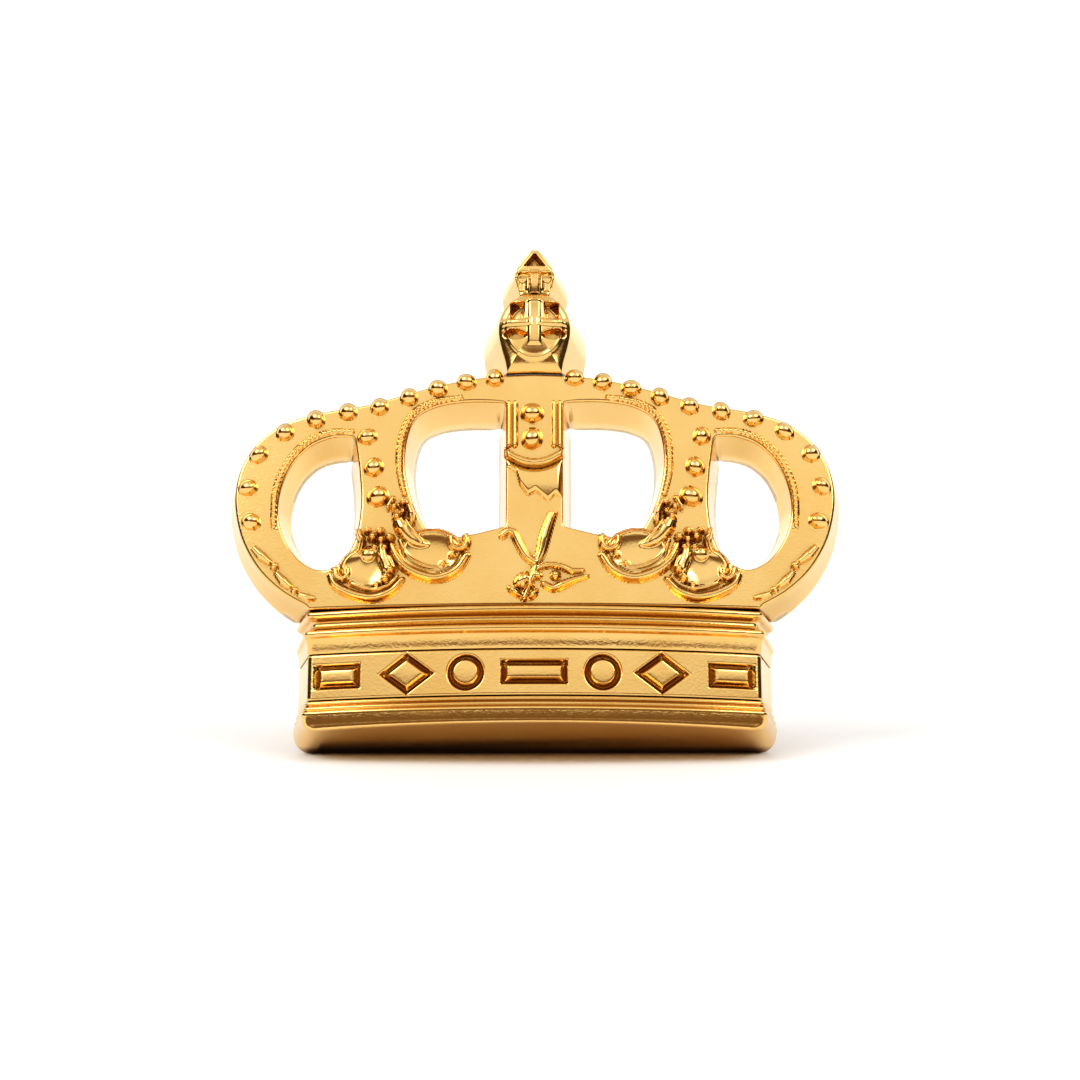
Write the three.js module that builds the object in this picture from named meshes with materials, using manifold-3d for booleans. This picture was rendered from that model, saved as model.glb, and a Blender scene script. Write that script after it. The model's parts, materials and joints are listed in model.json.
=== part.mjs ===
import * as THREE from 'three';
import Module from 'manifold-3d';

// A small gold-plated crown brooch. It stands on a table on the lower back edge of its circlet
// and leans back on the brooch bar behind it.
// Crown axes before the lean: X to the viewer's right, Y towards the back, Z up, millimetres.
// The flat back of the crown is the plane Y = 0 and the circlet's front lower edge is at Z = 0.

const wasm = await Module();
wasm.setup();

// ---------------------------------------------------------------- driving dimensions
const JOIN_GAP = 0.03;               // between pieces that are joined
const EDGE_MERGE = 0.004;            // slivers thinner than this are merged away
const OUTER_DRAFT = 0.24;            // outer walls widen by this much for each mm towards the back
const WINDOW_DRAFT = 0.133;          // inner windows narrow by this much for each mm towards the back
const SIDE_WINDOW_DRAFT = 0.2;       // and the side windows by this much

const PANEL_DEPTH = 2.3;             // of the openwork, on the centre line
const PANEL_BOW_RADIUS = 55;         // plan radius of the openwork's front
const CIRCLET_BOW_RADIUS = 32;       // plan radius of the circlet's front
const BOW_FACETS = 28;
const BOW_HALF_SPAN = 11.2;

const FLANGE_HALF_WIDTH = 7.8;      // lowest moulding, at the front
const FLANGE_DEPTH = 3.3;            // lowest moulding, on the centre line
const SIDE_DRAFT = 0.47;             // the circlet is this much wider each side at the back
const FOOT_DROP = 0.39;              // the drafted underside is this much lower at the back
const CIRCLET_CORNER = 0.3;
const BASE_TOP = 0.93;
const BAND_BOTTOM = BASE_TOP + JOIN_GAP;
const BAND_TOP = 2.47;
const CORNICE_BOTTOM = BAND_TOP + JOIN_GAP;
const CORNICE_TOP = 4.09;
const FRAME_BOTTOM = CORNICE_TOP + JOIN_GAP;
const BAND_INSET = 0.35;             // jewel band behind the flange's face
const BAND_SIDE_INSET = 0.27;        // and inside the flange's ends
const JEWEL_HEIGHT = 1.72;           // centre line of the jewels
const POCKET_DEPTH = 0.3;

const ARCH_TOP = 12.3;
const PEARL_RADIUS = 0.28;
const PEARL_RISE = 0.06;             // pearl centres stand this far in front of the frame
const PEARL_CROWDING = 0.14;         // how much closer together the pearls get near the orb
const RIM_RADIUS = 0.12;

const ORB_DOME = 0.42;               // the orb's face stands this far in front of the frame
const CROSS_DEPTH = 2.05;

const BAR_LENGTH = 15;
const BAR_HEIGHT = 3.6;
const BAR_THICKNESS = 0.5;
const REST_DEPTH = 4.5;              // the hinge ear's lower rear edge, which rests on the table
const REST_HEIGHT = 1.25;
const STEM_DEPTH = 3.2;              // the stem's axis behind the crown's back
const STEM_RADIUS = 0.4;
const HINGE_X = 6.2;
const EAR_THICKNESS = 0.45;
const RIVET_RADIUS = 0.4;
const EYE_RADIUS = 0.95;
const RUNNING_GAP = 0.06;
const CATCH_X = -6.3;
const BARREL_LENGTH = 1.8;
const BARREL_RADIUS = 1.7;
const BARREL_BORE = 1.26;
const ROTOR_RADIUS = 1.2;
const ROTOR_BORE = 0.58;
const SLOT_WIDTH = 1.04;
const ROTOR_COLLAR_RADIUS = 1.5;     // the rotor's ends, wider than the barrel's bore
const LEVER_REACH = 2.3;

const LEAN = Math.atan2(REST_HEIGHT + FOOT_DROP, REST_DEPTH);
// The catch barrel touches the table too, which sets how high the bar sits.
const BAR_Z = (BARREL_RADIUS + STEM_DEPTH * Math.sin(LEAN)) / Math.cos(LEAN) - FOOT_DROP;

const gold = new THREE.MeshStandardMaterial({ color: 0xf2b84b, roughness: 0.18, metalness: 1 });
const steel = new THREE.MeshStandardMaterial({ color: 0xb9bcc0, roughness: 0.3, metalness: 1 });
gold.flatShading = true;
steel.flatShading = true;

// ---------------------------------------------------------------- solids
function solidFrom(geometry) {
  const position = geometry.getAttribute('position');
  const index = geometry.getIndex();
  const cornerCount = index ? index.count : position.count;
  const known = new Map();
  const vertices = [];
  const triangles = [];
  const vertexOf = [];
  for (let i = 0; i < position.count; i += 1) {
    const place = [position.getX(i), position.getY(i), position.getZ(i)];
    const key = place.map((value) => Math.round(value * 1e4)).join();
    if (!known.has(key)) {
      known.set(key, vertices.length / 3);
      vertices.push(...place);
    }
    vertexOf.push(known.get(key));
  }
  for (let i = 0; i < cornerCount; i += 3) {
    const [a, b, c] = [i, i + 1, i + 2].map((n) => vertexOf[index ? index.getX(n) : n]);
    if (a !== b && b !== c && c !== a) {
      triangles.push(a, b, c);
    }
  }
  return new wasm.Manifold(new wasm.Mesh({
    numProp: 3,
    vertProperties: new Float32Array(vertices),
    triVerts: new Uint32Array(triangles),
  }));
}

function signedVolume(vertices, triangles) {
  let sum = 0;
  for (const [a, b, c] of triangles) {
    sum += vertices[a].dot(new THREE.Vector3().crossVectors(vertices[b], vertices[c]));
  }
  return sum / 6;
}

// Joins rings of equally many points into a closed solid, with a flat cap at each end.
function loft(rings, flatten) {
  const count = rings[0].length;
  const vertices = rings.flat();
  const triangles = [];
  for (let r = 0; r + 1 < rings.length; r += 1) {
    for (let i = 0; i < count; i += 1) {
      const a = r * count + i;
      const b = r * count + ((i + 1) % count);
      triangles.push([a, b, b + count], [a, b + count, a + count]);
    }
  }
  const flat = rings[0].map(flatten);
  const ringTurn = Math.sign(THREE.ShapeUtils.area(flat));
  const last = (rings.length - 1) * count;
  for (const cap of THREE.ShapeUtils.triangulateShape(flat, [])) {
    const turn = Math.sign(THREE.ShapeUtils.area(cap.map((n) => flat[n])));
    const [a, b, c] = turn === ringTurn ? cap : [cap[2], cap[1], cap[0]];
    triangles.push([c, b, a], [a + last, b + last, c + last]);
  }
  const facing = signedVolume(vertices, triangles) > 0
    ? triangles
    : triangles.map(([a, b, c]) => [c, b, a]);
  const geometry = new THREE.BufferGeometry().setFromPoints(vertices);
  geometry.setIndex(facing.flat());
  return solidFrom(geometry);
}

// Moves every edge of a flat outline outwards by a distance, which may depend on the point.
function offsetOutline(points, distanceAt) {
  const turn = Math.sign(THREE.ShapeUtils.area(points));
  return points.map((point, i) => {
    const distance = typeof distanceAt === 'function' ? distanceAt(point) : distanceAt;
    const before = points[(i + points.length - 1) % points.length];
    const after = points[(i + 1) % points.length];
    const edgeIn = new THREE.Vector2().subVectors(point, before).normalize();
    const edgeOut = new THREE.Vector2().subVectors(after, point).normalize();
    const normalIn = new THREE.Vector2(edgeIn.y, -edgeIn.x).multiplyScalar(turn);
    const normalOut = new THREE.Vector2(edgeOut.y, -edgeOut.x).multiplyScalar(turn);
    const mitre = distance / (1 + normalIn.dot(normalOut));
    return point.clone().addScaledVector(normalIn.add(normalOut), mitre);
  });
}

// A prism along Y over an outline in X and Z that is drawn at the openwork's front.
function draftedPrism(outline, draft, front, back) {
  const rings = [front, back].map((y) => offsetOutline(outline, draft * (y + PANEL_DEPTH))
    .map((point) => new THREE.Vector3(point.x, y, point.y)));
  return loft(rings, (vertex) => new THREE.Vector2(vertex.x, vertex.z));
}

function union(solids) {
  return solids.reduce((sum, next) => sum.add(next));
}

function box(x0, x1, y0, y1, z0, z1) {
  const geometry = new THREE.BoxGeometry(x1 - x0, y1 - y0, z1 - z0);
  geometry.translate((x0 + x1) / 2, (y0 + y1) / 2, (z0 + z1) / 2);
  return solidFrom(geometry);
}

function ellipsoid(x, y, z, radii, turn = 0, around = 12, along = 8) {
  const geometry = new THREE.SphereGeometry(1, around, along);
  geometry.scale(...radii);
  geometry.rotateY(turn);
  geometry.translate(x, y, z);
  return solidFrom(geometry);
}

function tube(path, radius, steps, sides = 6) {
  const profile = new THREE.Shape();
  for (let i = 0; i < sides; i += 1) {
    const angle = (2 * Math.PI * i) / sides;
    const place = [radius * Math.cos(angle), radius * Math.sin(angle)];
    if (i === 0) {
      profile.moveTo(...place);
    } else {
      profile.lineTo(...place);
    }
  }
  profile.closePath();
  const curve = new THREE.CatmullRomCurve3(path);
  return solidFrom(new THREE.ExtrudeGeometry(profile, { steps, extrudePath: curve }));
}

// A round bar along X, Y or Z between two ends.
function roundBar(axis, radius, from, to, centre, sides = 24) {
  const geometry = new THREE.CylinderGeometry(radius, radius, to - from, sides);
  if (axis === 'x') {
    geometry.rotateZ(Math.PI / 2);
    geometry.translate((from + to) / 2, centre[0], centre[1]);
  } else if (axis === 'y') {
    geometry.translate(centre[0], (from + to) / 2, centre[1]);
  } else {
    geometry.rotateX(Math.PI / 2);
    geometry.translate(centre[0], centre[1], (from + to) / 2);
  }
  return solidFrom(geometry);
}

function v2(x, z) {
  return new THREE.Vector2(x, z);
}

function mirrored(points) {
  return points.map((point) => v2(-point.x, point.y)).reverse();
}

function bow(x, radius) {
  return radius - Math.sqrt(radius * radius - x * x);
}

function panelFace(x) {
  return -PANEL_DEPTH + bow(x, PANEL_BOW_RADIUS);
}

function onPanel(x, z, rise = 0) {
  return new THREE.Vector3(x, panelFace(x) - rise, z);
}

// The space behind (or ahead of) the openwork's bowed front.
function bowedBlock(shift, otherSide, z0, z1) {
  const plan = [];
  for (let i = 0; i <= BOW_FACETS; i += 1) {
    const x = BOW_HALF_SPAN * ((2 * i) / BOW_FACETS - 1);
    plan.push(v2(x, panelFace(x) + shift));
  }
  plan.push(v2(BOW_HALF_SPAN, otherSide), v2(-BOW_HALF_SPAN, otherSide));
  const rings = [z0, z1].map((z) => plan.map((p) => new THREE.Vector3(p.x, p.y, z)));
  return loft(rings, (vertex) => v2(vertex.x, vertex.y));
}

// ---------------------------------------------------------------- circlet
// Plan outline of the circlet, set in from the flange by one distance in front and one at each side.
function circletPlan(frontInset, sideInset) {
  const halfFront = FLANGE_HALF_WIDTH - sideInset;
  const halfBack = halfFront + SIDE_DRAFT;
  const face = (x) => -(FLANGE_DEPTH - frontInset) + bow(x, CIRCLET_BOW_RADIUS);
  const cornerX = halfFront - CIRCLET_CORNER;
  const cornerY = face(halfFront) + CIRCLET_CORNER;
  const right = [v2(halfBack, 0), v2(halfFront, cornerY)];
  right.push(v2(halfFront - CIRCLET_CORNER * 0.3, cornerY - CIRCLET_CORNER * 0.7));
  const arcSteps = 11;
  for (let i = 0; i < arcSteps; i += 1) {
    const x = cornerX * (1 - i / arcSteps);
    right.push(v2(x, face(x)));
  }
  const left = right.map((point) => v2(-point.x, point.y)).reverse();
  return [...right, v2(0, face(0)), ...left];
}

// Stacks the plan at several [height, front inset, side inset, drop] stations into one moulding.
// The height holds at the front; the plan is lower by the drop at the back.
function moulding(stations) {
  const rings = stations.map(([z, frontInset, sideInset, drop = 0]) => (
    circletPlan(frontInset, sideInset).map((point) => (
      new THREE.Vector3(point.x, point.y, z - drop * (1 + point.y / FLANGE_DEPTH))
    ))
  ));
  return loft(rings, (vertex) => v2(vertex.x, vertex.y));
}

// A flange with a drafted underside and rounded lower corners, then two fine beads.
const baseMoulding = moulding([
  [0, 0.14, 0.6, FOOT_DROP],
  [0.02, 0.08, 0.38, FOOT_DROP * 0.7],
  [0.09, 0.05, 0.2, FOOT_DROP * 0.3],
  [0.44, 0, 0.13],
  [0.49, 0.06, 0.16],
  [0.52, 0.2, 0.2],
  [0.6, 0.14, 0.16],
  [0.69, 0.18, 0.18],
  [0.73, 0.32, 0.24],
  [0.8, 0.26, 0.2],
  [0.89, 0.3, 0.22],
  [BASE_TOP, 0.36, 0.26],
]);

// Sloping underside, a rounded nose, a deep cove and a fillet under the openwork.
const cornice = moulding([
  [CORNICE_BOTTOM, 0.37, 0.28],
  [2.8, 0.27, 0.25],
  [2.99, 0.2, 0.22],
  [3.03, 0.07, 0.19],
  [3.12, 0.01, 0.16],
  [3.22, 0.05, 0.17],
  [3.28, 0.2, 0.2],
  [3.34, 0.5, 0.28],
  [3.46, 0.74, 0.33],
  [3.64, 0.78, 0.36],
  [3.74, 0.68, 0.3],
  [3.79, 0.48, 0.2],
  [3.88, 0.44, 0.17],
  [3.98, 0.48, 0.17],
  [4.02, 0.68, 0.2],
  [CORNICE_TOP, 0.88, 0.24],
]);

// Jewels: centre x, then half width and half height, or a radius.
const jewelSpecs = [
  { name: 'jewel_square_left', x: -6.5, kind: 'square', half: [0.8, 0.44] },
  { name: 'jewel_diamond_left', x: -4.2, kind: 'diamond', half: [0.95, 0.72] },
  { name: 'jewel_round_left', x: -2.25, kind: 'round', half: [0.6, 0.6] },
  { name: 'jewel_centre', x: 0, kind: 'square', half: [1.1, 0.45] },
  { name: 'jewel_round_right', x: 2.25, kind: 'round', half: [0.6, 0.6] },
  { name: 'jewel_diamond_right', x: 4.2, kind: 'diamond', half: [0.95, 0.72] },
  { name: 'jewel_square_right', x: 6.5, kind: 'square', half: [0.8, 0.44] },
];

function jewelOutline(kind, half) {
  if (kind === 'square') {
    return [v2(-half[0], -half[1]), v2(half[0], -half[1]), v2(half[0], half[1]), v2(-half[0], half[1])];
  }
  const count = kind === 'diamond' ? 4 : 16;
  return Array.from({ length: count }, (_, i) => {
    const angle = (2 * Math.PI * i) / count;
    return v2(half[0] * Math.cos(angle), half[1] * Math.sin(angle));
  });
}

// Stacks [forward distance, inset] stations of one outline into a block that faces -Y.
function facedBlock(outline, stations) {
  const rings = stations.map(([forward, inset]) => offsetOutline(outline, -inset)
    .map((point) => new THREE.Vector3(point.x, -forward, point.y)));
  return loft(rings, (vertex) => v2(vertex.x, vertex.z));
}

const bandFace = (x) => -(FLANGE_DEPTH - BAND_INSET) + bow(x, CIRCLET_BOW_RADIUS);
const jewels = [];
const BAND_EDGE = 0.05;
let jewelBand = moulding([
  [BAND_BOTTOM, BAND_INSET + BAND_EDGE / 2, BAND_SIDE_INSET + BAND_EDGE / 2],
  [BAND_BOTTOM + BAND_EDGE, BAND_INSET, BAND_SIDE_INSET],
  [BAND_TOP - BAND_EDGE, BAND_INSET, BAND_SIDE_INSET],
  [BAND_TOP, BAND_INSET + BAND_EDGE / 2, BAND_SIDE_INSET + BAND_EDGE / 2],
]);
for (const { name, x, kind, half } of jewelSpecs) {
  const turn = Math.asin(x / CIRCLET_BOW_RADIUS);
  const outline = jewelOutline(kind, half);
  const place = new THREE.Vector3(x, bandFace(x), JEWEL_HEIGHT);
  const pocket = facedBlock(outline, [[-POCKET_DEPTH, 0.06], [POCKET_DEPTH, -0.06]]);
  const stone = facedBlock(outline, [
    [-POCKET_DEPTH + JOIN_GAP, 0.1],
    [-POCKET_DEPTH * 0.55, 0.1],
    [0.03, 0.26],
  ]);
  const degrees = THREE.MathUtils.radToDeg(turn);
  jewelBand = jewelBand.subtract(pocket.rotate([0, 0, degrees]).translate(place.toArray()));
  jewels.push({ name, solid: stone, place, turn });
}

// ---------------------------------------------------------------- openwork
const rightEdge = new THREE.SplineCurve([
  v2(7.78, 4.3), v2(8.5, 4.76), v2(9.3, 5.55), v2(9.88, 6.55), v2(10.16, 7.6), v2(10.2, 8.5),
  v2(9.97, 9.4), v2(9.42, 10.2), v2(8.55, 10.78), v2(7.3, 11.1), v2(5.8, 11.3), v2(4.4, 11.65),
  v2(3.1, 11.98), v2(1.6, 12.22), v2(0, ARCH_TOP),
]).getPoints(44);
const frameRight = [v2(7.66, FRAME_BOTTOM - 0.6), ...rightEdge];
const frontOutline = [...frameRight, ...mirrored(frameRight.slice(0, -1))];
// The bowed front lies further back at the sides, where the drafted wall is already wider.
const frameOutline = offsetOutline(frontOutline, (point) => -OUTER_DRAFT * bow(point.x, PANEL_BOW_RADIUS));

const innerWindowShape = new THREE.Shape();
innerWindowShape.moveTo(0.97, 6.88);
innerWindowShape.lineTo(0.97, 11.05);
innerWindowShape.quadraticCurveTo(0.97, 11.27, 1.2, 11.28);
innerWindowShape.splineThru([v2(2.3, 11.3), v2(3.3, 11.15), v2(4, 10.75), v2(4.32, 9.95),
  v2(4.36, 8.9), v2(4.12, 7.85), v2(3.75, 7), v2(3.4, 6.58), v2(2.95, 6.47)]);
innerWindowShape.lineTo(2, 6.64);
const innerWindow = innerWindowShape.getPoints(3);

const sideWindowShape = new THREE.Shape();
sideWindowShape.moveTo(5.95, 9);
sideWindowShape.lineTo(6.08, 9.9);
sideWindowShape.quadraticCurveTo(6.14, 10.14, 6.4, 10.17);
sideWindowShape.splineThru([v2(6.95, 10.15), v2(7.65, 9.87), v2(8.25, 9.24), v2(8.62, 8.32),
  v2(8.67, 7.4), v2(8.37, 6.5), v2(7.8, 5.78), v2(7.1, 5.5), v2(6.45, 5.82), v2(6.02, 6.6),
  v2(5.87, 7.8), v2(5.95, 9)]);
const sideWindow = sideWindowShape.getPoints(3).slice(0, -1);

const FRONT_LIMIT = -3.2;
const BACK_LIMIT = 0.5;

// Raised rims beside the windows, drawn for the right half.
const rimPaths = [
  [[2.5, 11.47], [3.4, 11.32], [4.15, 10.88], [4.52, 10], [4.56, 8.9], [4.36, 8]],
  [[6.3, 10.38], [7.05, 10.35], [7.8, 10.03], [8.42, 9.35], [8.82, 8.4], [8.86, 7.3]],
];
const lobeTicks = [[9.25, 6.25, 0.5], [8.55, 5.3, 0.7], [7.65, 4.62, 0.26]];

function forBothSides(make) {
  return union([make(1), make(-1)]);
}

function rims(extra) {
  return forBothSides((side) => union(rimPaths.map((path) => tube(
    path.map(([x, z]) => onPanel(side * x, z)),
    RIM_RADIUS + extra,
    12,
  ))));
}

const flutes = forBothSides((side) => union([0.68, 0.86].map((x) => tube(
  [onPanel(side * x, 9.72), onPanel(side * x, 11.22)],
  0.08,
  1,
))));

const ticks = forBothSides((side) => union(lobeTicks.map(([x, z, turn]) => ellipsoid(
  side * x,
  panelFace(x),
  z,
  [0.36, 0.14, 0.12],
  -side * turn,
  8,
  6,
))));

let frame = draftedPrism(frameOutline, OUTER_DRAFT, FRONT_LIMIT, 0);
frame = frame.intersect(bowedBlock(0, BACK_LIMIT, FRAME_BOTTOM, ARCH_TOP + 2));
frame = frame.add(rims(0)).add(flutes).add(ticks);
const windowShapes = [[innerWindow, WINDOW_DRAFT], [sideWindow, SIDE_WINDOW_DRAFT]];
frame = frame.subtract(forBothSides((side) => union(windowShapes.map(([outline, draft]) => {
  const drawn = side > 0 ? outline : mirrored(outline);
  return draftedPrism(drawn, -draft, FRONT_LIMIT, BACK_LIMIT);
}))));

// ---------------------------------------------------------------- relief on the openwork
const ahead = bowedBlock(-JOIN_GAP, FRONT_LIMIT - 1, -1, ARCH_TOP + 6);
const rimRoom = rims(JOIN_GAP);

// Relief starts a hair in front of the frame's face and leaves the rims clear.
// Crumbs that the cut leaves apart from the main piece are dropped.
function relief(solid) {
  const pieces = solid.intersect(ahead).subtract(rimRoom).asOriginal().simplify(EDGE_MERGE).decompose();
  return pieces.reduce((largest, piece) => (piece.volume() > largest.volume() ? piece : largest));
}

function pearl(name, x, z, radius) {
  const y = panelFace(x) - PEARL_RISE;
  const solid = relief(ellipsoid(x, y, z, [radius, radius, radius], 0, 10, 7));
  return { name, solid: solid.translate([-x, -y, -z]), place: new THREE.Vector3(x, y, z) };
}

// Eleven pearls climb from each lobe to the orb, closer together towards the orb.
const PEARL_COUNT = 11;
const pearlCurve = new THREE.SplineCurve([
  v2(9.61, 7.27), v2(9.76, 8.54), v2(9.4, 9.7), v2(8.62, 10.36), v2(7.56, 10.8), v2(6.42, 11.03),
  v2(5.2, 11.2), v2(3.7, 11.68), v2(2.3, 12), v2(1.36, 12.13),
]);
const pearlLine = Array.from({ length: PEARL_COUNT }, (_, i) => {
  const share = i / (PEARL_COUNT - 1);
  return pearlCurve.getPointAt(share + PEARL_CROWDING * share * (1 - share));
});
const pearls = [];
for (const [side, word] of [[-1, 'left'], [1, 'right']]) {
  pearlLine.forEach((point, i) => {
    pearls.push(pearl(`pearl_${word}_${i + 1}`, side * point.x, point.y, PEARL_RADIUS));
  });
  const inner = [[5.68, 10.12, PEARL_RADIUS], [5.44, 9.02, 0.3], [5.28, 7.95, 0.38]];
  inner.forEach(([x, z, radius], i) => {
    pearls.push(pearl(`inner_pearl_${word}_${i + 1}`, side * x, z, radius));
  });
}
[10.86, 9.95].forEach((z, i) => {
  pearls.push(pearl(`column_bead_${i + 1}`, -0.08, z, 0.33));
});

// Scrolled leaves where the inner arches meet the band: a dish, its rim, a knob and a lobe.
function scrollLeaf(side, spec) {
  const at = ([x, z], rise = 0) => onPanel(side * x, z, rise);
  const dish = at(spec.dish);
  const lobe = at(spec.lobe);
  const knob = at(spec.knob, 0.05);
  const petal = at(spec.petal);
  return relief(union([
    ellipsoid(dish.x, dish.y, dish.z, [spec.dishRadii[0], 0.26, spec.dishRadii[1]], -side * spec.dishTurn),
    tube(spec.rim.map((point) => at(point, 0.06)), 0.14, 12),
    ellipsoid(lobe.x, lobe.y, lobe.z, [spec.lobeRadii[0], 0.36, spec.lobeRadii[1]], -side * spec.lobeTurn),
    ellipsoid(knob.x, knob.y, knob.z, [0.3, 0.3, 0.3], 0, 10, 7),
    ellipsoid(petal.x, petal.y, petal.z, [spec.petalRadius, 0.36, spec.petalRadius], 0, 8, 6),
  ]));
}

const innerLeaf = {
  dish: [3.55, 5.95],
  dishRadii: [0.95, 0.72],
  dishTurn: 0,
  rim: [[4.72, 6.55], [4.42, 5.75], [3.75, 5.2], [3.05, 5.3], [2.55, 5.85], [2.48, 6.3]],
  lobe: [4.2, 7],
  lobeRadii: [0.28, 0.85],
  lobeTurn: -0.35,
  knob: [2.55, 6.38],
  petal: [3.75, 6.45],
  petalRadius: 0.34,
};
const outerLeaf = {
  dish: [5.5, 5.35],
  dishRadii: [0.9, 0.6],
  dishTurn: 0,
  rim: [[6.72, 5.2], [6.4, 4.82], [5.8, 4.56], [5.1, 4.6], [4.65, 4.92], [4.5, 5.25]],
  lobe: [5.75, 6.15],
  lobeRadii: [0.3, 0.5],
  lobeTurn: 0.6,
  knob: [6.62, 5.25],
  petal: [5.26, 6.42],
  petalRadius: 0.4,
};
const leaves = [];
for (const [side, word] of [[-1, 'left'], [1, 'right']]) {
  leaves.push({ name: `leaf_inner_${word}`, solid: scrollLeaf(side, innerLeaf) });
  leaves.push({ name: `leaf_outer_${word}`, solid: scrollLeaf(side, outerLeaf) });
}

// Lopsided sprig in the middle of the band: two arms, a blossom, one leaf and a stalk.
const stalkAlong = (path, radius, steps) => tube(path.map(([x, z]) => onPanel(x, z)), radius, steps);
const sprig = relief(union([
  stalkAlong([[-1.1, 6.55], [-0.75, 6.45], [-0.42, 6], [-0.1, 5.7]], 0.14, 6),
  stalkAlong([[0.72, 7.3], [0.48, 7.05], [0.2, 6.3], [-0.05, 5.66]], 0.15, 6),
  stalkAlong([[-0.08, 5.8], [-0.12, 5.15], [-0.34, 4.42]], 0.13, 5),
  ellipsoid(-0.42, panelFace(0), 4.92, [0.42, 0.3, 0.42]),
  ellipsoid(1.02, panelFace(1), 4.98, [0.68, 0.24, 0.24], -0.25),
  stalkAlong([[-0.2, 5.2], [0.4, 5.28], [0.8, 5.08]], 0.1, 4),
]));

// Bowl-shaped collar across the column, with a ragged leaf hanging below it.
const collarShape = new THREE.Shape();
collarShape.moveTo(-0.98, 9.6);
collarShape.quadraticCurveTo(-0.55, 9.2, 0, 9.2);
collarShape.quadraticCurveTo(0.55, 9.2, 0.95, 9.6);
collarShape.lineTo(0.95, 9.2);
collarShape.quadraticCurveTo(0.4, 8.86, 0, 8.86);
collarShape.quadraticCurveTo(-0.5, 8.86, -0.98, 9.25);
const COLLAR_RISE = 0.26;
const collar = relief(facedBlock(collarShape.getPoints(4), [
  [PANEL_DEPTH - 0.2, 0],
  [PANEL_DEPTH + 0.12, 0],
  [PANEL_DEPTH + COLLAR_RISE, 0.1],
]));

const leafletShape = new THREE.Shape();
leafletShape.moveTo(-0.92, 9.14);
leafletShape.quadraticCurveTo(-0.4, 8.8, 0, 8.8);
leafletShape.quadraticCurveTo(0.4, 8.8, 0.9, 9.1);
leafletShape.splineThru([v2(0.92, 8.2), v2(0.62, 7.72), v2(0.3, 7.9), v2(-0.15, 7.95), v2(-0.55, 8.25)]);
const LEAFLET_RISE = 0.16;
const columnLeaf = relief(facedBlock(leafletShape.getPoints(3), [
  [PANEL_DEPTH - 0.2, 0],
  [PANEL_DEPTH + 0.06, 0],
  [PANEL_DEPTH + LEAFLET_RISE, 0.1],
]));

// ---------------------------------------------------------------- orb and cross
const archRoom = draftedPrism(offsetOutline(frameOutline, JOIN_GAP), OUTER_DRAFT, FRONT_LIMIT, BACK_LIMIT);

const orbEdge = new THREE.SplineCurve([
  v2(0.99, 12.7), v2(1.16, 13.3), v2(1.24, 13.85), v2(1.13, 14.45), v2(0.82, 14.92), v2(0.4, 15.15),
]).getPoints(12);
const orbHalf = [v2(0.97, 11.5), ...orbEdge];
const orbOutline = [...orbHalf, ...mirrored(orbHalf)];
const ORB_CENTRE = 13.82;
const orbFace = -PANEL_DEPTH - 0.02;
let orb = draftedPrism(orbOutline, OUTER_DRAFT, orbFace, 0);
orb = orb.add(ellipsoid(0, orbFace, ORB_CENTRE, [1.18, ORB_DOME, 1.28], 0, 20, 12)
  .intersect(box(-2, 2, FRONT_LIMIT, orbFace + 0.1, 12, 16)));
const orbPits = union([-1, 1].flatMap((side) => [
  box(side * 0.57 - 0.22, side * 0.57 + 0.22, FRONT_LIMIT, orbFace - 0.02, 14.18, 14.82),
  ellipsoid(side * 0.68, orbFace - 0.3, 13.64, [0.34, 0.34, 0.14], -side * 0.35, 10, 6),
]));
orb = orb.subtract(orbPits).subtract(archRoom);

const crossEdge = new THREE.SplineCurve([
  v2(0.52, 15.25), v2(0.64, 15.7), v2(0.62, 16.05), v2(0.36, 16.6), v2(0.12, 16.9),
]).getPoints(8);
const crossHalf = [v2(0.45, 14.4), ...crossEdge];
const crossOutline = [...crossHalf, ...mirrored(crossHalf)];
const orbRoom = draftedPrism(offsetOutline(orbOutline, JOIN_GAP), OUTER_DRAFT, FRONT_LIMIT, BACK_LIMIT);
let cross = draftedPrism(crossOutline, OUTER_DRAFT, -CROSS_DEPTH, 0);
const crossGable = [v2(-0.66, 15.98), v2(0.66, 15.98), v2(0.1, 16.88), v2(-0.1, 16.88)];
const crossPit = [v2(-0.26, 16.14), v2(0.26, 16.14), v2(0.05, 16.62), v2(-0.05, 16.62)];
cross = cross.add(facedBlock(crossGable, [[CROSS_DEPTH - 0.2, 0], [CROSS_DEPTH + 0.22, 0.07]]));
cross = cross.add(box(-0.17, 0.17, -CROSS_DEPTH - 0.2, -CROSS_DEPTH + 0.2, 15.3, 16.02));
cross = cross.subtract(facedBlock(crossPit, [[CROSS_DEPTH + 0.02, 0.05], [CROSS_DEPTH + 0.5, -0.1]]));
cross = cross.subtract(orbRoom);

// ---------------------------------------------------------------- pin fittings on the back
const barFront = JOIN_GAP;
const barBack = barFront + BAR_THICKNESS;
const seat = barBack + JOIN_GAP;
const barBottom = BAR_Z - BAR_HEIGHT / 2;
const barTop = BAR_Z + BAR_HEIGHT / 2;
const barShape = new THREE.Shape();
const barEnd = BAR_LENGTH / 2;
const BAR_CORNER = 0.8;
barShape.moveTo(-barEnd + BAR_CORNER, barBottom);
barShape.lineTo(barEnd - BAR_CORNER, barBottom);
barShape.quadraticCurveTo(barEnd, barBottom, barEnd, barBottom + BAR_CORNER);
barShape.lineTo(barEnd, barTop - BAR_CORNER);
barShape.quadraticCurveTo(barEnd, barTop, barEnd - BAR_CORNER, barTop);
barShape.lineTo(-barEnd + BAR_CORNER, barTop);
barShape.quadraticCurveTo(-barEnd, barTop, -barEnd, barTop - BAR_CORNER);
barShape.lineTo(-barEnd, barBottom + BAR_CORNER);
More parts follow.
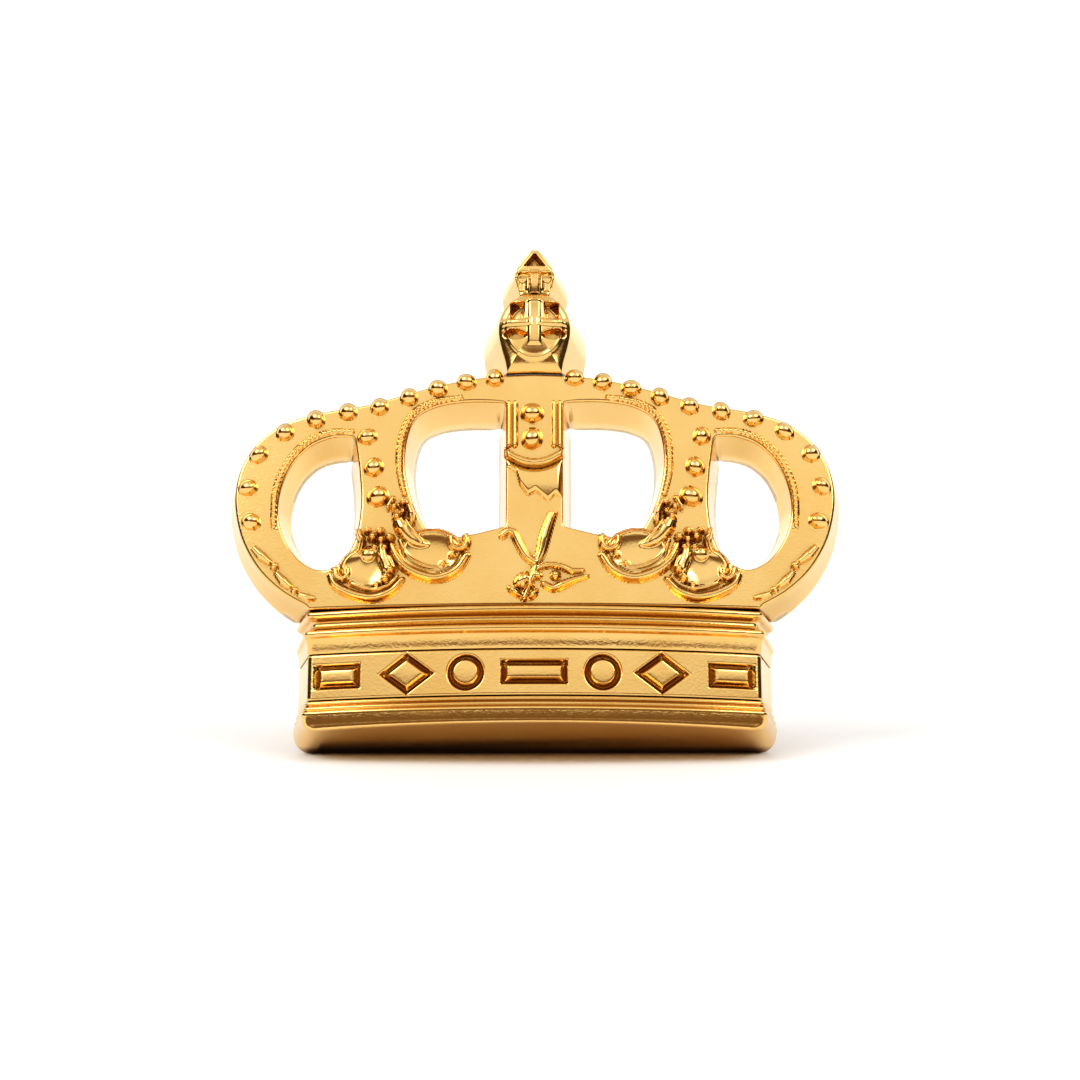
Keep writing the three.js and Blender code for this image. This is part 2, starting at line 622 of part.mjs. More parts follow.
barShape.quadraticCurveTo(-barEnd, barBottom, -barEnd + BAR_CORNER, barBottom);
let pinBar = facedBlock(barShape.getPoints(4).slice(0, -1), [[-barBack, 0], [-barFront, 0]]);
const SEWING_HOLE_X = 2.6;
const SEWING_HOLE_RADIUS = 0.75;
for (const x of [-SEWING_HOLE_X, SEWING_HOLE_X]) {
  pinBar = pinBar.subtract(roundBar('y', SEWING_HOLE_RADIUS, -1, 2, [x, BAR_Z], 20));
}

// U-shaped hinge bracket: a foot on the bar and two ears, each with a rivet hole.
const EAR_FROM = HINGE_X - 1.3;
const EAR_TO = HINGE_X + 1.2;
const hingeAxis = [HINGE_X, STEM_DEPTH];
const earTop = 2 * BAR_Z - REST_HEIGHT;
const hingeFoot = box(EAR_FROM, EAR_TO, seat, seat + EAR_THICKNESS, REST_HEIGHT, earTop);
const ear = (z0) => box(EAR_FROM, EAR_TO, seat, REST_DEPTH, z0, z0 + EAR_THICKNESS);
const rivetRoom = roundBar('z', RIVET_RADIUS + RUNNING_GAP / 2, 0, earTop + 1, hingeAxis);
const hingeBracket = union([hingeFoot, ear(REST_HEIGHT), ear(earTop - EAR_THICKNESS)])
  .subtract(rivetRoom);

// The rivet hangs by its head, which clears the upper ear, and stops inside the lower one.
const HEAD_RADIUS = 0.62;
const HEAD_CLEARANCE = 0.04;
const HEAD_HEIGHT = 0.25;
const shankRadius = RIVET_RADIUS - 0.01;
const headFrom = earTop + HEAD_CLEARANCE;
const rivet = union([
  roundBar('z', shankRadius, REST_HEIGHT + 0.05, headFrom + HEAD_CLEARANCE, hingeAxis),
  roundBar('z', HEAD_RADIUS, headFrom, earTop + HEAD_HEIGHT, hingeAxis),
]);

// Pin stem: an eye round the rivet, a straight wire and a ground point.
const stemPoint = CATCH_X - 1.75;
const EYE_HALF = 0.75;
const STEM_TAPER = 1.6;
const stemLength = HINGE_X - 0.3 - stemPoint;
const stemWire = new THREE.LatheGeometry([
  v2(0, 0),
  v2(0.06, 0.04),
  v2(STEM_RADIUS, STEM_TAPER),
  v2(STEM_RADIUS, stemLength),
  v2(0, stemLength),
], 16);
stemWire.rotateZ(-Math.PI / 2);
stemWire.translate(stemPoint, STEM_DEPTH, BAR_Z);
const eye = roundBar('z', EYE_RADIUS, BAR_Z - EYE_HALF, BAR_Z + EYE_HALF, hingeAxis);
const pinStem = solidFrom(stemWire).add(eye)
  .subtract(roundBar('z', RIVET_RADIUS + RUNNING_GAP, 0, earTop, hingeAxis));

// Safety catch: a slotted barrel on a foot, and a slotted rotor with a finger lever.
const catchAxis = [STEM_DEPTH, BAR_Z];
const barrelFrom = CATCH_X - BARREL_LENGTH / 2;
const barrelTo = CATCH_X + BARREL_LENGTH / 2;
const slotFrom = (x0, x1, reach) => box(
  x0, x1,
  STEM_DEPTH, STEM_DEPTH + reach,
  BAR_Z - SLOT_WIDTH / 2, BAR_Z + SLOT_WIDTH / 2,
);
const CUT_PAST = 1;                  // cutting tools run this far past what they cut
const BARREL_FOOT = 1;               // half the height of the barrel's foot
const catchBarrel = roundBar('x', BARREL_RADIUS, barrelFrom, barrelTo, catchAxis, 32)
  .add(box(barrelFrom, barrelTo, seat, STEM_DEPTH, BAR_Z - BARREL_FOOT, BAR_Z + BARREL_FOOT))
  .subtract(roundBar('x', BARREL_BORE, barrelFrom - CUT_PAST, barrelTo + CUT_PAST, catchAxis, 32))
  .subtract(slotFrom(barrelFrom - CUT_PAST, barrelTo + CUT_PAST, BARREL_RADIUS + CUT_PAST));

const ROTOR_END = 0.16;
const LEVER_WIDTH = 0.7;
const leverFrom = barrelTo + RUNNING_GAP;
const leverTo = leverFrom + LEVER_WIDTH;
const rotorTo = barrelFrom - RUNNING_GAP;
const rotorFrom = rotorTo - ROTOR_END;
const LEVER_HALF_THICKNESS = 0.3;
const lever = box(
  leverFrom, leverTo,
  STEM_DEPTH - LEVER_HALF_THICKNESS, STEM_DEPTH + LEVER_HALF_THICKNESS,
  BAR_Z, BAR_Z + LEVER_REACH,
);
const catchRotor = roundBar('x', ROTOR_RADIUS, rotorFrom, leverTo, catchAxis, 28)
  .add(roundBar('x', ROTOR_COLLAR_RADIUS, rotorFrom, rotorTo, catchAxis, 28))
  .add(roundBar('x', ROTOR_COLLAR_RADIUS, leverFrom, leverTo, catchAxis, 28))
  .add(lever)
  .subtract(roundBar('x', ROTOR_BORE, rotorFrom - CUT_PAST, leverTo + CUT_PAST, catchAxis, 20))
  .subtract(slotFrom(rotorFrom - CUT_PAST, leverTo + CUT_PAST, BARREL_RADIUS + CUT_PAST));

// ---------------------------------------------------------------- assembly
function meshOf({ name, solid, place, turn }, material) {
  const { vertProperties, triVerts } = solid.asOriginal().simplify(EDGE_MERGE).getMesh();
  const geometry = new THREE.BufferGeometry();
  geometry.setAttribute('position', new THREE.BufferAttribute(new Float32Array(vertProperties), 3));
  geometry.setIndex(new THREE.BufferAttribute(new Uint32Array(triVerts), 1));
  geometry.computeVertexNormals();
  const mesh = new THREE.Mesh(geometry, material);
  mesh.name = name;
  if (place) {
    mesh.position.copy(place);
  }
  if (turn) {
    mesh.rotation.z = turn;
  }
  return mesh;
}

function groupOf(name, material, pieces) {
  const group = new THREE.Group();
  group.name = name;
  group.add(...pieces.map((piece) => meshOf(piece, material)));
  return group;
}

// Moving pieces have their origin on the axis that they turn about.
function about(name, solid, x, y, z) {
  return { name, solid: solid.translate([-x, -y, -z]), place: new THREE.Vector3(x, y, z) };
}

const crown = new THREE.Group();
crown.name = 'crown_upright';
crown.add(groupOf('circlet', gold, [
  { name: 'base_moulding', solid: baseMoulding },
  { name: 'jewel_band', solid: jewelBand },
  { name: 'cornice', solid: cornice },
  ...jewels,
]));
crown.add(groupOf('arches', gold, [
  { name: 'openwork', solid: frame },
  ...pearls,
  ...leaves,
  { name: 'centre_sprig', solid: sprig },
  { name: 'column_collar', solid: collar },
  { name: 'column_leaf', solid: columnLeaf },
]));
crown.add(groupOf('finial', gold, [
  { name: 'orb', solid: orb },
  { name: 'cross', solid: cross },
]));
crown.add(groupOf('pin_mount', gold, [
  { name: 'pin_bar', solid: pinBar },
  { name: 'hinge_bracket', solid: hingeBracket },
  { name: 'catch_barrel', solid: catchBarrel },
  about('catch_rotor', catchRotor, CATCH_X, STEM_DEPTH, BAR_Z),
]));
crown.add(groupOf('pin', steel, [
  { name: 'hinge_rivet', solid: rivet },
  about('pin_stem', pinStem, HINGE_X, STEM_DEPTH, BAR_Z),
]));

// Lean the crown back about the lower back edge of its circlet, then centre it on the origin.
crown.rotation.x = -LEAN;
crown.updateMatrixWorld(true);
const bounds = new THREE.Box3().setFromObject(crown, true);
const centre = bounds.getCenter(new THREE.Vector3());
crown.position.set(-centre.x, -centre.y, -bounds.min.z);

const part = new THREE.Group();
part.name = 'crown_brooch';
part.add(crown);
export default part;
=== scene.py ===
import json
import math

import bmesh
import bpy
import numpy as np
from mathutils import Matrix, Vector
from mathutils.geometry import delaunay_2d_cdt


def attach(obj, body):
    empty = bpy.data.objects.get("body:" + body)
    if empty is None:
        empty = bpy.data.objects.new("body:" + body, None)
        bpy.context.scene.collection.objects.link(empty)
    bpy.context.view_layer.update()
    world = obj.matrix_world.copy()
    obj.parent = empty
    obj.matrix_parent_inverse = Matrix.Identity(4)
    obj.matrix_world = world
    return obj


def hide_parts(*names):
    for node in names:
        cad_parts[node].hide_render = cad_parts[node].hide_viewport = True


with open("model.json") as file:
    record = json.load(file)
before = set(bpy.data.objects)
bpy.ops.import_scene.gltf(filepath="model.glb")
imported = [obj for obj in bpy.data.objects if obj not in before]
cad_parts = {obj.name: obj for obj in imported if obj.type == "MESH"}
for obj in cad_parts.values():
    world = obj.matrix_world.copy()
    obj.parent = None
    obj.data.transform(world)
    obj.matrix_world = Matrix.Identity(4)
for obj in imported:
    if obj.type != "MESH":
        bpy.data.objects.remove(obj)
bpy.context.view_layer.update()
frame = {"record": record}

# ------------------------------------------------------------------ dimensions, millimetres
# Crown axes before the lean: X to the viewer's right, Y to the back, Z up, as in the CAD source.
PANEL_DEPTH = 2.3
PANEL_BOW = 55.0
CIRCLET_BOW = 32.0
FLANGE_HALF = 7.8
FLANGE_DEPTH = 3.3
SIDE_DRAFT = 0.47
FOOT_DROP = 0.39
CORNER = 0.28
CORNER_TURN = 76
BASE_TOP = 0.93
BAND_BOTTOM = 0.96
BAND_TOP = 2.47
CORNICE_BOTTOM = 2.5
CORNICE_TOP = 4.09
FRAME_BOTTOM = 4.12
BAND_INSET = 0.35
BAND_SIDE_INSET = 0.27
BAND_EDGE = 0.05
JEWEL_Z = 1.72
POCKET = 0.2
POCKET_SLOPE = 0.11
PEARL_RADIUS = 0.28
PEARL_RISE = 1.15
PEARL_FOOT = 1.22
PEARL_FILLET = 0.06
PEARL_ROOT = 0.05
PEARLS_A_SIDE = 11
PEARL_CROWDING = 0.14
ARCH_TOP = 12.3
OUTER_DRAFT = 0.24
WINDOW_DRAFT = 0.133
SIDE_WINDOW_DRAFT = 0.2
CONTOUR_STEP = 0.07
EDGE = 0.1
BACK_EDGE = 0.04
FACE_GRID = 0.16
LOWEST_RELIEF = 0.006
RELIEF_ROOT = 0.04
GAP = 0.03
ORB_CENTRE = 13.84
ORB_FACE = -PANEL_DEPTH - 0.02
ORB_DOME = 0.42
CROSS_DEPTH = 2.05
STEM_DEPTH = 3.2
BARREL_RADIUS = 1.7

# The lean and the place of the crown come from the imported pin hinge.
hinge = next(j for j in frame["record"]["behaviour"]["joints"] if j["name"] == "pin_hinge")
LEAN = math.atan2(-hinge["axis"][1], -hinge["axis"][2])
SIN, COS = math.sin(LEAN), math.cos(LEAN)
BAR_Z = (BARREL_RADIUS + STEM_DEPTH * SIN) / COS - FOOT_DROP
SHIFT_Y = hinge["pos_m"][1] * 1000 - (STEM_DEPTH * COS + BAR_Z * SIN)
LIFT = hinge["pos_m"][2] * 1000 - (BAR_Z * COS - STEM_DEPTH * SIN)


def to_row(points):
    """Crown millimetres to metres in the model's frame."""
    points = np.asarray(points, float)
    x, y, z = points[:, 0], points[:, 1], points[:, 2]
    return np.column_stack((x, y * COS + z * SIN + SHIFT_Y, -y * SIN + z * COS + LIFT)) * 0.001


# ------------------------------------------------------------------ materials
def metal_material(name, color, rough, bump, grain_mm, painted_shade):
    """Polished metal: uneven polish, fine orange peel, rubbed scratches and painted shade in the corners."""
    mat = bpy.data.materials.new(name)
    mat.use_nodes = True
    nodes, links = mat.node_tree.nodes, mat.node_tree.links
    shader = nodes["Principled BSDF"]
    shader.inputs["Metallic"].default_value = 1.0
    coords = nodes.new("ShaderNodeTexCoord")

    def noise(scale, detail, roughness=0.5):
        node = nodes.new("ShaderNodeTexNoise")
        node.inputs["Scale"].default_value = scale
        node.inputs["Detail"].default_value = detail
        node.inputs["Roughness"].default_value = roughness
        links.new(coords.outputs["Object"], node.inputs["Vector"])
        return node

    def ramp(source, low, high, start=0.3, end=0.7):
        node = nodes.new("ShaderNodeMapRange")
        node.inputs["From Min"].default_value = start
        node.inputs["From Max"].default_value = end
        node.inputs["To Min"].default_value = low
        node.inputs["To Max"].default_value = high
        links.new(source, node.inputs["Value"])
        return node.outputs["Result"]

    cloud = noise(420.0, 3.0)
    grain = noise(1000.0 / grain_mm, 2.0, 0.6)
    stretched = nodes.new("ShaderNodeMapping")
    stretched.inputs["Scale"].default_value = (1.0, 1.0, 4.0)
    stretched.inputs["Rotation"].default_value = (0.3, 0.7, 0.4)
    links.new(coords.outputs["Object"], stretched.inputs["Vector"])
    scratch = nodes.new("ShaderNodeTexNoise")
    scratch.inputs["Scale"].default_value = 5200.0
    scratch.inputs["Detail"].default_value = 4.0
    links.new(stretched.outputs["Vector"], scratch.inputs["Vector"])

    # Colour: slightly redder and paler patches, and painted shade, a brown darkening where ambient occlusion
    # finds corners and creases.
    tint = nodes.new("ShaderNodeMix")
    tint.data_type = "RGBA"
    tint.inputs["A"].default_value = (*color, 1.0)
    tint.inputs["B"].default_value = (color[0] * 0.97, color[1] * 0.9, color[2] * 0.78, 1.0)
    links.new(ramp(cloud.outputs["Fac"], 0.0, 1.0), tint.inputs["Factor"])
    # Painted shade: the ambient occlusion mask darkens the colour brown in corners, creases and grooves.
    corner = nodes.new("ShaderNodeAmbientOcclusion")
    corner.samples = 8
    corner.inputs["Distance"].default_value = 0.00033
    dark = nodes.new("ShaderNodeMix")
    dark.data_type = "RGBA"
    dark.inputs["B"].default_value = (color[0] * 0.33, color[1] * 0.22, color[2] * 0.12, 1.0)
    links.new(tint.outputs["Result"], dark.inputs["A"])
    links.new(ramp(corner.outputs["AO"], painted_shade, 0.0, 0.25, 0.8), dark.inputs["Factor"])
    links.new(dark.outputs["Result"], shader.inputs["Base Color"])

    # Roughness: cloudy polish with rubbed streaks.
    streaks = nodes.new("ShaderNodeMath")
    streaks.operation = "ADD"
    links.new(ramp(cloud.outputs["Fac"], rough * 0.75, rough * 1.3), streaks.inputs[0])
    links.new(ramp(scratch.outputs["Fac"], -0.015, 0.035, 0.4, 0.7), streaks.inputs[1])
    links.new(streaks.outputs[0], shader.inputs["Roughness"])

    # Relief too small to model: orange peel and hairlines.
    height = nodes.new("ShaderNodeMath")
    height.operation = "ADD"
    links.new(grain.outputs["Fac"], height.inputs[0])
    links.new(ramp(scratch.outputs["Fac"], 0.0, 0.12, 0.55, 0.75), height.inputs[1])
    relief = nodes.new("ShaderNodeBump")
    relief.inputs["Strength"].default_value = bump
    relief.inputs["Distance"].default_value = 0.00002
    links.new(height.outputs[0], relief.inputs["Height"])
    links.new(relief.outputs["Normal"], shader.inputs["Normal"])
    return mat


gold = metal_material("gold_plate", (0.9, 0.605, 0.23), 0.12, 0.16, 0.09, 0.9)
gold_fittings = metal_material("gold_fittings", (0.93, 0.66, 0.3), 0.3, 0.4, 0.06, 0.4)
steel = metal_material("pin_steel", (0.72, 0.72, 0.73), 0.22, 0.4, 0.05, 0.4)


# ------------------------------------------------------------------ mesh helpers
def gold_piece(name, vertices, faces, nodes, sharp=40.0):
    """A smooth piece of the casting, in crown millimetres, in place of the given CAD nodes."""
    mesh = bpy.data.meshes.new(name)
    mesh.from_pydata(to_row(vertices).tolist(), [], faces)
    mesh.validate()
    mesh.polygons.foreach_set("use_smooth", [True] * len(mesh.polygons))
    mesh.set_sharp_from_angle(angle=math.radians(sharp))
    mesh.update()
    piece = bpy.data.objects.new(name, mesh)
    bpy.context.scene.collection.objects.link(piece)
    piece.data.materials.append(gold)
    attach(piece, "crown")
    if nodes:
        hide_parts(*nodes)
    return piece


def lofted(rings):
    """Vertices and faces of closed rings joined in order, with flat ends."""
    count = len(rings[0])
    vertices = np.concatenate(rings)
    faces = []
    for r in range(len(rings) - 1):
        a = r * count
        for i in range(count):
            j = (i + 1) % count
            faces.append((a + i, a + j, a + count + j, a + count + i))
    last = (len(rings) - 1) * count
    faces.append(tuple(range(count - 1, -1, -1)))
    faces.append(tuple(range(last, last + count)))
    return facing_out(vertices, faces)


def facing_out(vertices, faces):
    """Turns every face over if the closed surface is inside out."""
    vertices = np.asarray(vertices, float)
    total = 0.0
    for face in faces:
        a = vertices[face[0]]
        for i in range(1, len(face) - 1):
            total += float(np.dot(a, np.cross(vertices[face[i]], vertices[face[i + 1]])))
    if total < 0:
        faces = [tuple(reversed(face)) for face in faces]
    return vertices, faces


def rounded(points, passes=3):
    """Cuts the corners of an open run of points, keeping both ends."""
    points = np.asarray(points, float)
    for _ in range(passes):
        a, b = points[:-1], points[1:]
        inner = np.empty((2 * len(a), points.shape[1]))
        inner[0::2] = 0.75 * a + 0.25 * b
        inner[1::2] = 0.25 * a + 0.75 * b
        points = np.vstack((points[:1], inner, points[-1:]))
    return points


def spline(points, per_span):
    """A smooth open curve through the points."""
    points = np.asarray(points, float)
    padded = np.vstack((points[:1], points, points[-1:]))
    out = []
    for p in zip(padded, padded[1:], padded[2:], padded[3:]):
        v0, v1 = (p[2] - p[0]) / 2, (p[3] - p[1]) / 2
        for k in range(per_span):
            t = k / per_span
            out.append((2 * p[1] - 2 * p[2] + v0 + v1) * t ** 3
                       + (-3 * p[1] + 3 * p[2] - 2 * v0 - v1) * t ** 2 + v0 * t + p[1])
    out.append(points[-1])
    return np.array(out)


def resampled(points, spacing):
    """Evenly spaced points round a closed outline."""
    points = np.vstack((points, points[:1]))
    steps = np.linalg.norm(np.diff(points, axis=0), axis=1)
    along = np.concatenate(([0.0], np.cumsum(steps)))
    wanted = np.linspace(0.0, along[-1], int(round(along[-1] / spacing)) + 1)[:-1]
    return np.column_stack([np.interp(wanted, along, points[:, k]) for k in range(2)])


def outline_normals(points, blur):
    """Outward normals of a closed outline, eased over its neighbours so that offsets don't cross."""
    tangent = np.roll(points, -1, axis=0) - np.roll(points, 1, axis=0)
    normal = np.column_stack((tangent[:, 1], -tangent[:, 0]))
    x, z = points[:, 0], points[:, 1]
    area = np.sum(x * np.roll(z, -1) - np.roll(x, -1) * z)
    normal *= np.sign(area) / np.linalg.norm(normal, axis=1)[:, None]
    for _ in range(blur):
        normal = (np.roll(normal, 1, axis=0) + normal + np.roll(normal, -1, axis=0)) / 3
    return normal


def bow(x, radius):
    """How far a bowed front has fallen back at a distance from the middle."""
    return radius - np.sqrt(radius * radius - np.asarray(x, float) ** 2)


def panel_y(x):
    """The openwork's bowed front."""
    return -PANEL_DEPTH + bow(x, PANEL_BOW)


# ------------------------------------------------------------------ circlet
def circlet_plan(front_inset, side_inset, across):
    """The circlet from above: drafted sides, rounded front corners and a bowed front."""
    half = FLANGE_HALF - side_inset
    depth = FLANGE_DEPTH - front_inset
    cx = half - CORNER
    cy = float(-depth + bow(cx, CIRCLET_BOW)) + CORNER
    side = [(half + SIDE_DRAFT, 0.0)]
    for t in (0.25, 0.5, 0.75):
        side.append((half + SIDE_DRAFT * (1 - t), cy * t))
    turn = np.radians(np.linspace(0, -CORNER_TURN, 9))
    corner = [(cx + CORNER * math.cos(a), cy + CORNER * math.sin(a)) for a in turn]
    reach = cx - 0.02
    x = np.linspace(reach, -reach, across)
    front = np.column_stack((x, -depth + bow(x, CIRCLET_BOW)))
    right = np.array(side + corner)
    left = right[::-1] * (-1, 1)
    return np.vstack((right, front, left))


def moulding_rings(stations, across=150):
    """Rings at (height, front inset, side inset, drop); the drop lowers the plan towards the back."""
    rings = []
    for z, front_inset, side_inset, drop in stations:
        plan = circlet_plan(front_inset, side_inset, across)
        rings.append(np.column_stack((plan, z - drop * (1 + plan[:, 1] / FLANGE_DEPTH))))
    return rings


base_profile = rounded([
    (0.0, 0.45, 0.9, FOOT_DROP), (0.0, 0.17, 0.6, FOOT_DROP), (0.01, 0.09, 0.42, FOOT_DROP * 0.8),
    (0.06, 0.075, 0.26, FOOT_DROP * 0.5), (0.14, 0.07, 0.17, FOOT_DROP * 0.2), (0.3, 0.03, 0.14, 0.0),
    (0.44, -0.01, 0.13, 0.0), (0.5, 0.03, 0.16, 0.0), (0.53, 0.2, 0.2, 0.0), (0.57, 0.16, 0.16, 0.0),
    (0.62, 0.13, 0.16, 0.0), (0.68, 0.16, 0.18, 0.0), (0.71, 0.34, 0.24, 0.0), (0.75, 0.3, 0.22, 0.0),
    (0.8, 0.24, 0.2, 0.0), (0.87, 0.26, 0.22, 0.0), (BASE_TOP, 0.38, 0.26, 0.0),
    (BASE_TOP, 0.5, 0.5, 0.0),
])
gold_piece("base_moulding_cast", *lofted(moulding_rings(base_profile)), ["base_moulding"])

cornice_profile = rounded([
    (CORNICE_BOTTOM, 0.6, 0.6, 0.0), (CORNICE_BOTTOM, 0.37, 0.28, 0.0), (2.56, 0.34, 0.27, 0.0),
    (2.8, 0.27, 0.25, 0.0), (2.99, 0.2, 0.22, 0.0), (3.03, 0.07, 0.19, 0.0), (3.1, 0.0, 0.16, 0.0),
    (3.2, 0.01, 0.16, 0.0), (3.27, 0.12, 0.18, 0.0), (3.3, 0.32, 0.24, 0.0), (3.38, 0.62, 0.3, 0.0),
    (3.5, 0.76, 0.34, 0.0), (3.66, 0.79, 0.36, 0.0), (3.75, 0.72, 0.32, 0.0), (3.78, 0.5, 0.22, 0.0),
    (3.83, 0.44, 0.18, 0.0), (3.93, 0.43, 0.16, 0.0), (4.0, 0.5, 0.17, 0.0), (4.03, 0.72, 0.2, 0.0),
    (CORNICE_TOP, 0.9, 0.24, 0.0), (CORNICE_TOP, 1.2, 0.6, 0.0),
])
gold_piece("cornice_cast", *lofted(moulding_rings(cornice_profile)), ["cornice"])

JEWELS = [
    ("jewel_square_left", -6.5, "square", 0.78, 0.43),
    ("jewel_diamond_left", -4.2, "diamond", 0.95, 0.72),
    ("jewel_round_left", -2.25, "round", 0.62, 0.62),
    ("jewel_centre", 0.0, "square", 1.1, 0.42),
    ("jewel_round_right", 2.25, "round", 0.62, 0.62),
    ("jewel_diamond_right", 4.2, "diamond", 0.95, 0.72),
    ("jewel_square_right", 6.5, "square", 0.78, 0.43),
]


def jewel_distance(kind, half_x, half_z, u, w):
    """How far a point lies inside the jewel's outline; negative outside."""
    if kind == "round":
        return half_x - np.hypot(u, w)
    if kind == "diamond":
        slope = math.hypot(half_x, half_z)
        return (half_x * half_z - np.abs(u) * half_z - np.abs(w) * half_x) / slope
    return np.minimum(half_x - np.abs(u), half_z - np.abs(w))


def eased(value, low, high):
    """A smooth step from zero to one."""
    t = np.clip((value - low) / (high - low), 0.0, 1.0)
    return t * t * (3 - 2 * t)


band_rows = np.concatenate(([BAND_BOTTOM, BAND_BOTTOM + 0.02],
                            np.linspace(BAND_BOTTOM + BAND_EDGE, BAND_TOP - BAND_EDGE, 70),
                            [BAND_TOP - 0.02, BAND_TOP]))
band_stations = []
for z in band_rows:
    edge = 0.5 * BAND_EDGE * (1 - eased(min(z - BAND_BOTTOM, BAND_TOP - z), 0.0, BAND_EDGE))
    band_stations.append((z, BAND_INSET + edge, BAND_SIDE_INSET + edge, 0.0))
band_rings = moulding_rings(band_stations, across=620)
for ring in band_rings:
    front = ring[:, 1] < -0.5
    for _, x0, kind, half_x, half_z in JEWELS:
        turn = math.asin(x0 / CIRCLET_BOW)
        u = (ring[:, 0] - x0) / math.cos(turn)
        inside = jewel_distance(kind, half_x, half_z, u, ring[:, 2] - JEWEL_Z)
        depth = POCKET * eased(inside, -0.02, POCKET_SLOPE) * front
        ring[:, 0] -= np.sin(turn) * depth
        ring[:, 1] += np.cos(turn) * depth
gold_piece("jewel_band_cast", *lofted(band_rings), ["jewel_band"])


def jewel_rings(kind, half_x, half_z):
    """A stone with a sloping girdle and a flat table, facing -Y, on the band's face at the origin."""
    angles = np.radians(np.arange(0, 360, 360 / 192))
    direction = np.column_stack((np.cos(angles), np.sin(angles)))
    rings = []
    girdle = [(-0.26, 0.08), (-0.21, 0.1), (-0.17, 0.13), (0.02, 0.23), (0.035, 0.25), (0.04, 0.32)]
    for forward, inset in rounded(girdle, 2):
        reach = []
        for dx, dz in direction:
            low, high = 0.0, 2.0
            for _ in range(26):
                mid = (low + high) / 2
                if jewel_distance(kind, half_x, half_z, mid * dx, mid * dz) > inset:
                    low = mid
                else:
                    high = mid
            reach.append(low)
        reach = np.array(reach)
        if kind != "round":
            reach = (np.roll(reach, 1) + 2 * reach + np.roll(reach, -1)) / 4
        flat = direction * reach[:, None]
        rings.append(np.column_stack((flat[:, 0], np.full(len(reach), -forward), flat[:, 1])))
    return rings


for name, x0, kind, half_x, half_z in JEWELS:
    turn = math.asin(x0 / CIRCLET_BOW)
    y0 = float(-(FLANGE_DEPTH - BAND_INSET) + bow(x0, CIRCLET_BOW))
    rings = []
    for ring in jewel_rings(kind, half_x, half_z):
        x = x0 + ring[:, 0] * math.cos(turn) - ring[:, 1] * math.sin(turn)
        y = y0 + ring[:, 0] * math.sin(turn) + ring[:, 1] * math.cos(turn)
        rings.append(np.column_stack((x, y, ring[:, 2] + JEWEL_Z)))
    gold_piece(name + "_cut", *lofted(rings), [name], sharp=28.0)


# ------------------------------------------------------------------ openwork
right_edge = spline([
    (7.66, 4.24), (8.5, 4.76), (9.3, 5.55), (9.88, 6.55), (10.16, 7.6), (10.2, 8.5), (9.97, 9.4),
    (9.42, 10.2), (8.55, 10.78), (7.3, 11.1), (5.8, 11.3), (4.4, 11.65), (3.1, 11.98), (1.6, 12.22),
    (0.0, ARCH_TOP),
], 12)
right_edge = np.vstack(([(7.55, FRAME_BOTTOM)], right_edge))
frame_outline = np.vstack((right_edge, right_edge[:-1][::-1] * (-1, 1)))

inner_window = np.vstack((
    [(0.97, 6.95), (0.97, 11.05)],
    [(1.0, 11.2), (1.06, 11.26), (1.2, 11.28)],
    spline([(1.2, 11.28), (2.3, 11.3), (3.3, 11.15), (4.0, 10.75), (4.32, 9.95), (4.36, 8.9), (4.12, 7.85),
            (3.75, 7.0), (3.4, 6.58), (2.95, 6.47)], 10)[1:],
    [(2.0, 6.64), (1.06, 6.87)],
))
side_window = np.vstack((
    [(5.95, 9.0), (6.08, 9.9), (6.12, 10.06), (6.22, 10.15), (6.4, 10.17)],
    spline([(6.4, 10.17), (6.95, 10.15), (7.65, 9.87), (8.25, 9.24), (8.62, 8.32), (8.67, 7.4), (8.37, 6.5),
            (7.8, 5.78), (7.1, 5.5), (6.45, 5.82), (6.02, 6.6), (5.87, 7.8), (5.95, 9.0)], 10)[1:-1],
))


def inside_outline(points, outline):
    """Which flat points lie inside a closed outline."""
    x, z = points[:, 0], points[:, 1]
    hit = np.zeros(len(points), bool)
    for (x1, z1), (x2, z2) in zip(outline, np.roll(outline, -1, axis=0)):
        crosses = (z1 > z) != (z2 > z)
        if crosses.any():
            at = x1 + (z - z1) * (x2 - x1) / (z2 - z1 if z2 != z1 else 1e-12)
            hit ^= crosses & (x < at)
    return hit


def filled(outer, holes, interior):
    """Triangles over a flat region with holes, keeping the given boundary points."""
    loops = [outer] + holes
    points = np.vstack(loops + ([interior] if len(interior) else []))
    edges = []
    start = 0
    for loop in loops:
        count = len(loop)
        edges += [(start + i, start + (i + 1) % count) for i in range(count)]
        start += count
    result = delaunay_2d_cdt([Vector(p) for p in points], edges, [], 0, 1e-7)
    origin = [ids[0] for ids in result[3]]
    triangles = np.array([[origin[v] for v in face] for face in result[2]])
    centre = points[triangles].mean(axis=1)
    keep = inside_outline(centre, outer)
    for hole in holes:
        keep &= ~inside_outline(centre, hole)
    return points, triangles[keep]


def contour_rings(outline, grows, draft):
    """Rings down one contour, from the rim of the front face over a soft edge to the back."""
    points = resampled(outline, CONTOUR_STEP)
    normal = outline_normals(points, 6 if grows > 0 else 36) * grows
    rings = []
    for turn in np.linspace(0, 90, 7):
        inset = EDGE * (1 - math.sin(math.radians(turn)))
        drop = EDGE * (1 - math.cos(math.radians(turn)))
        place = points - normal * inset
        place[:, 1] = np.maximum(place[:, 1], FRAME_BOTTOM)
        rings.append(np.column_stack((place[:, 0], panel_y(place[:, 0]) + drop, place[:, 1])))
    front_y = rings[-1][:, 1]
    for t in (0.33, 0.66, 0.97, 1.0):
        y = front_y * (1 - t)
        spread = draft * (y - front_y) - (BACK_EDGE if t == 1.0 else 0.0)
        place = points + normal * spread[:, None]
        place[:, 1] = np.maximum(place[:, 1], FRAME_BOTTOM)
        rings.append(np.column_stack((place[:, 0], y, place[:, 1])))
    return rings


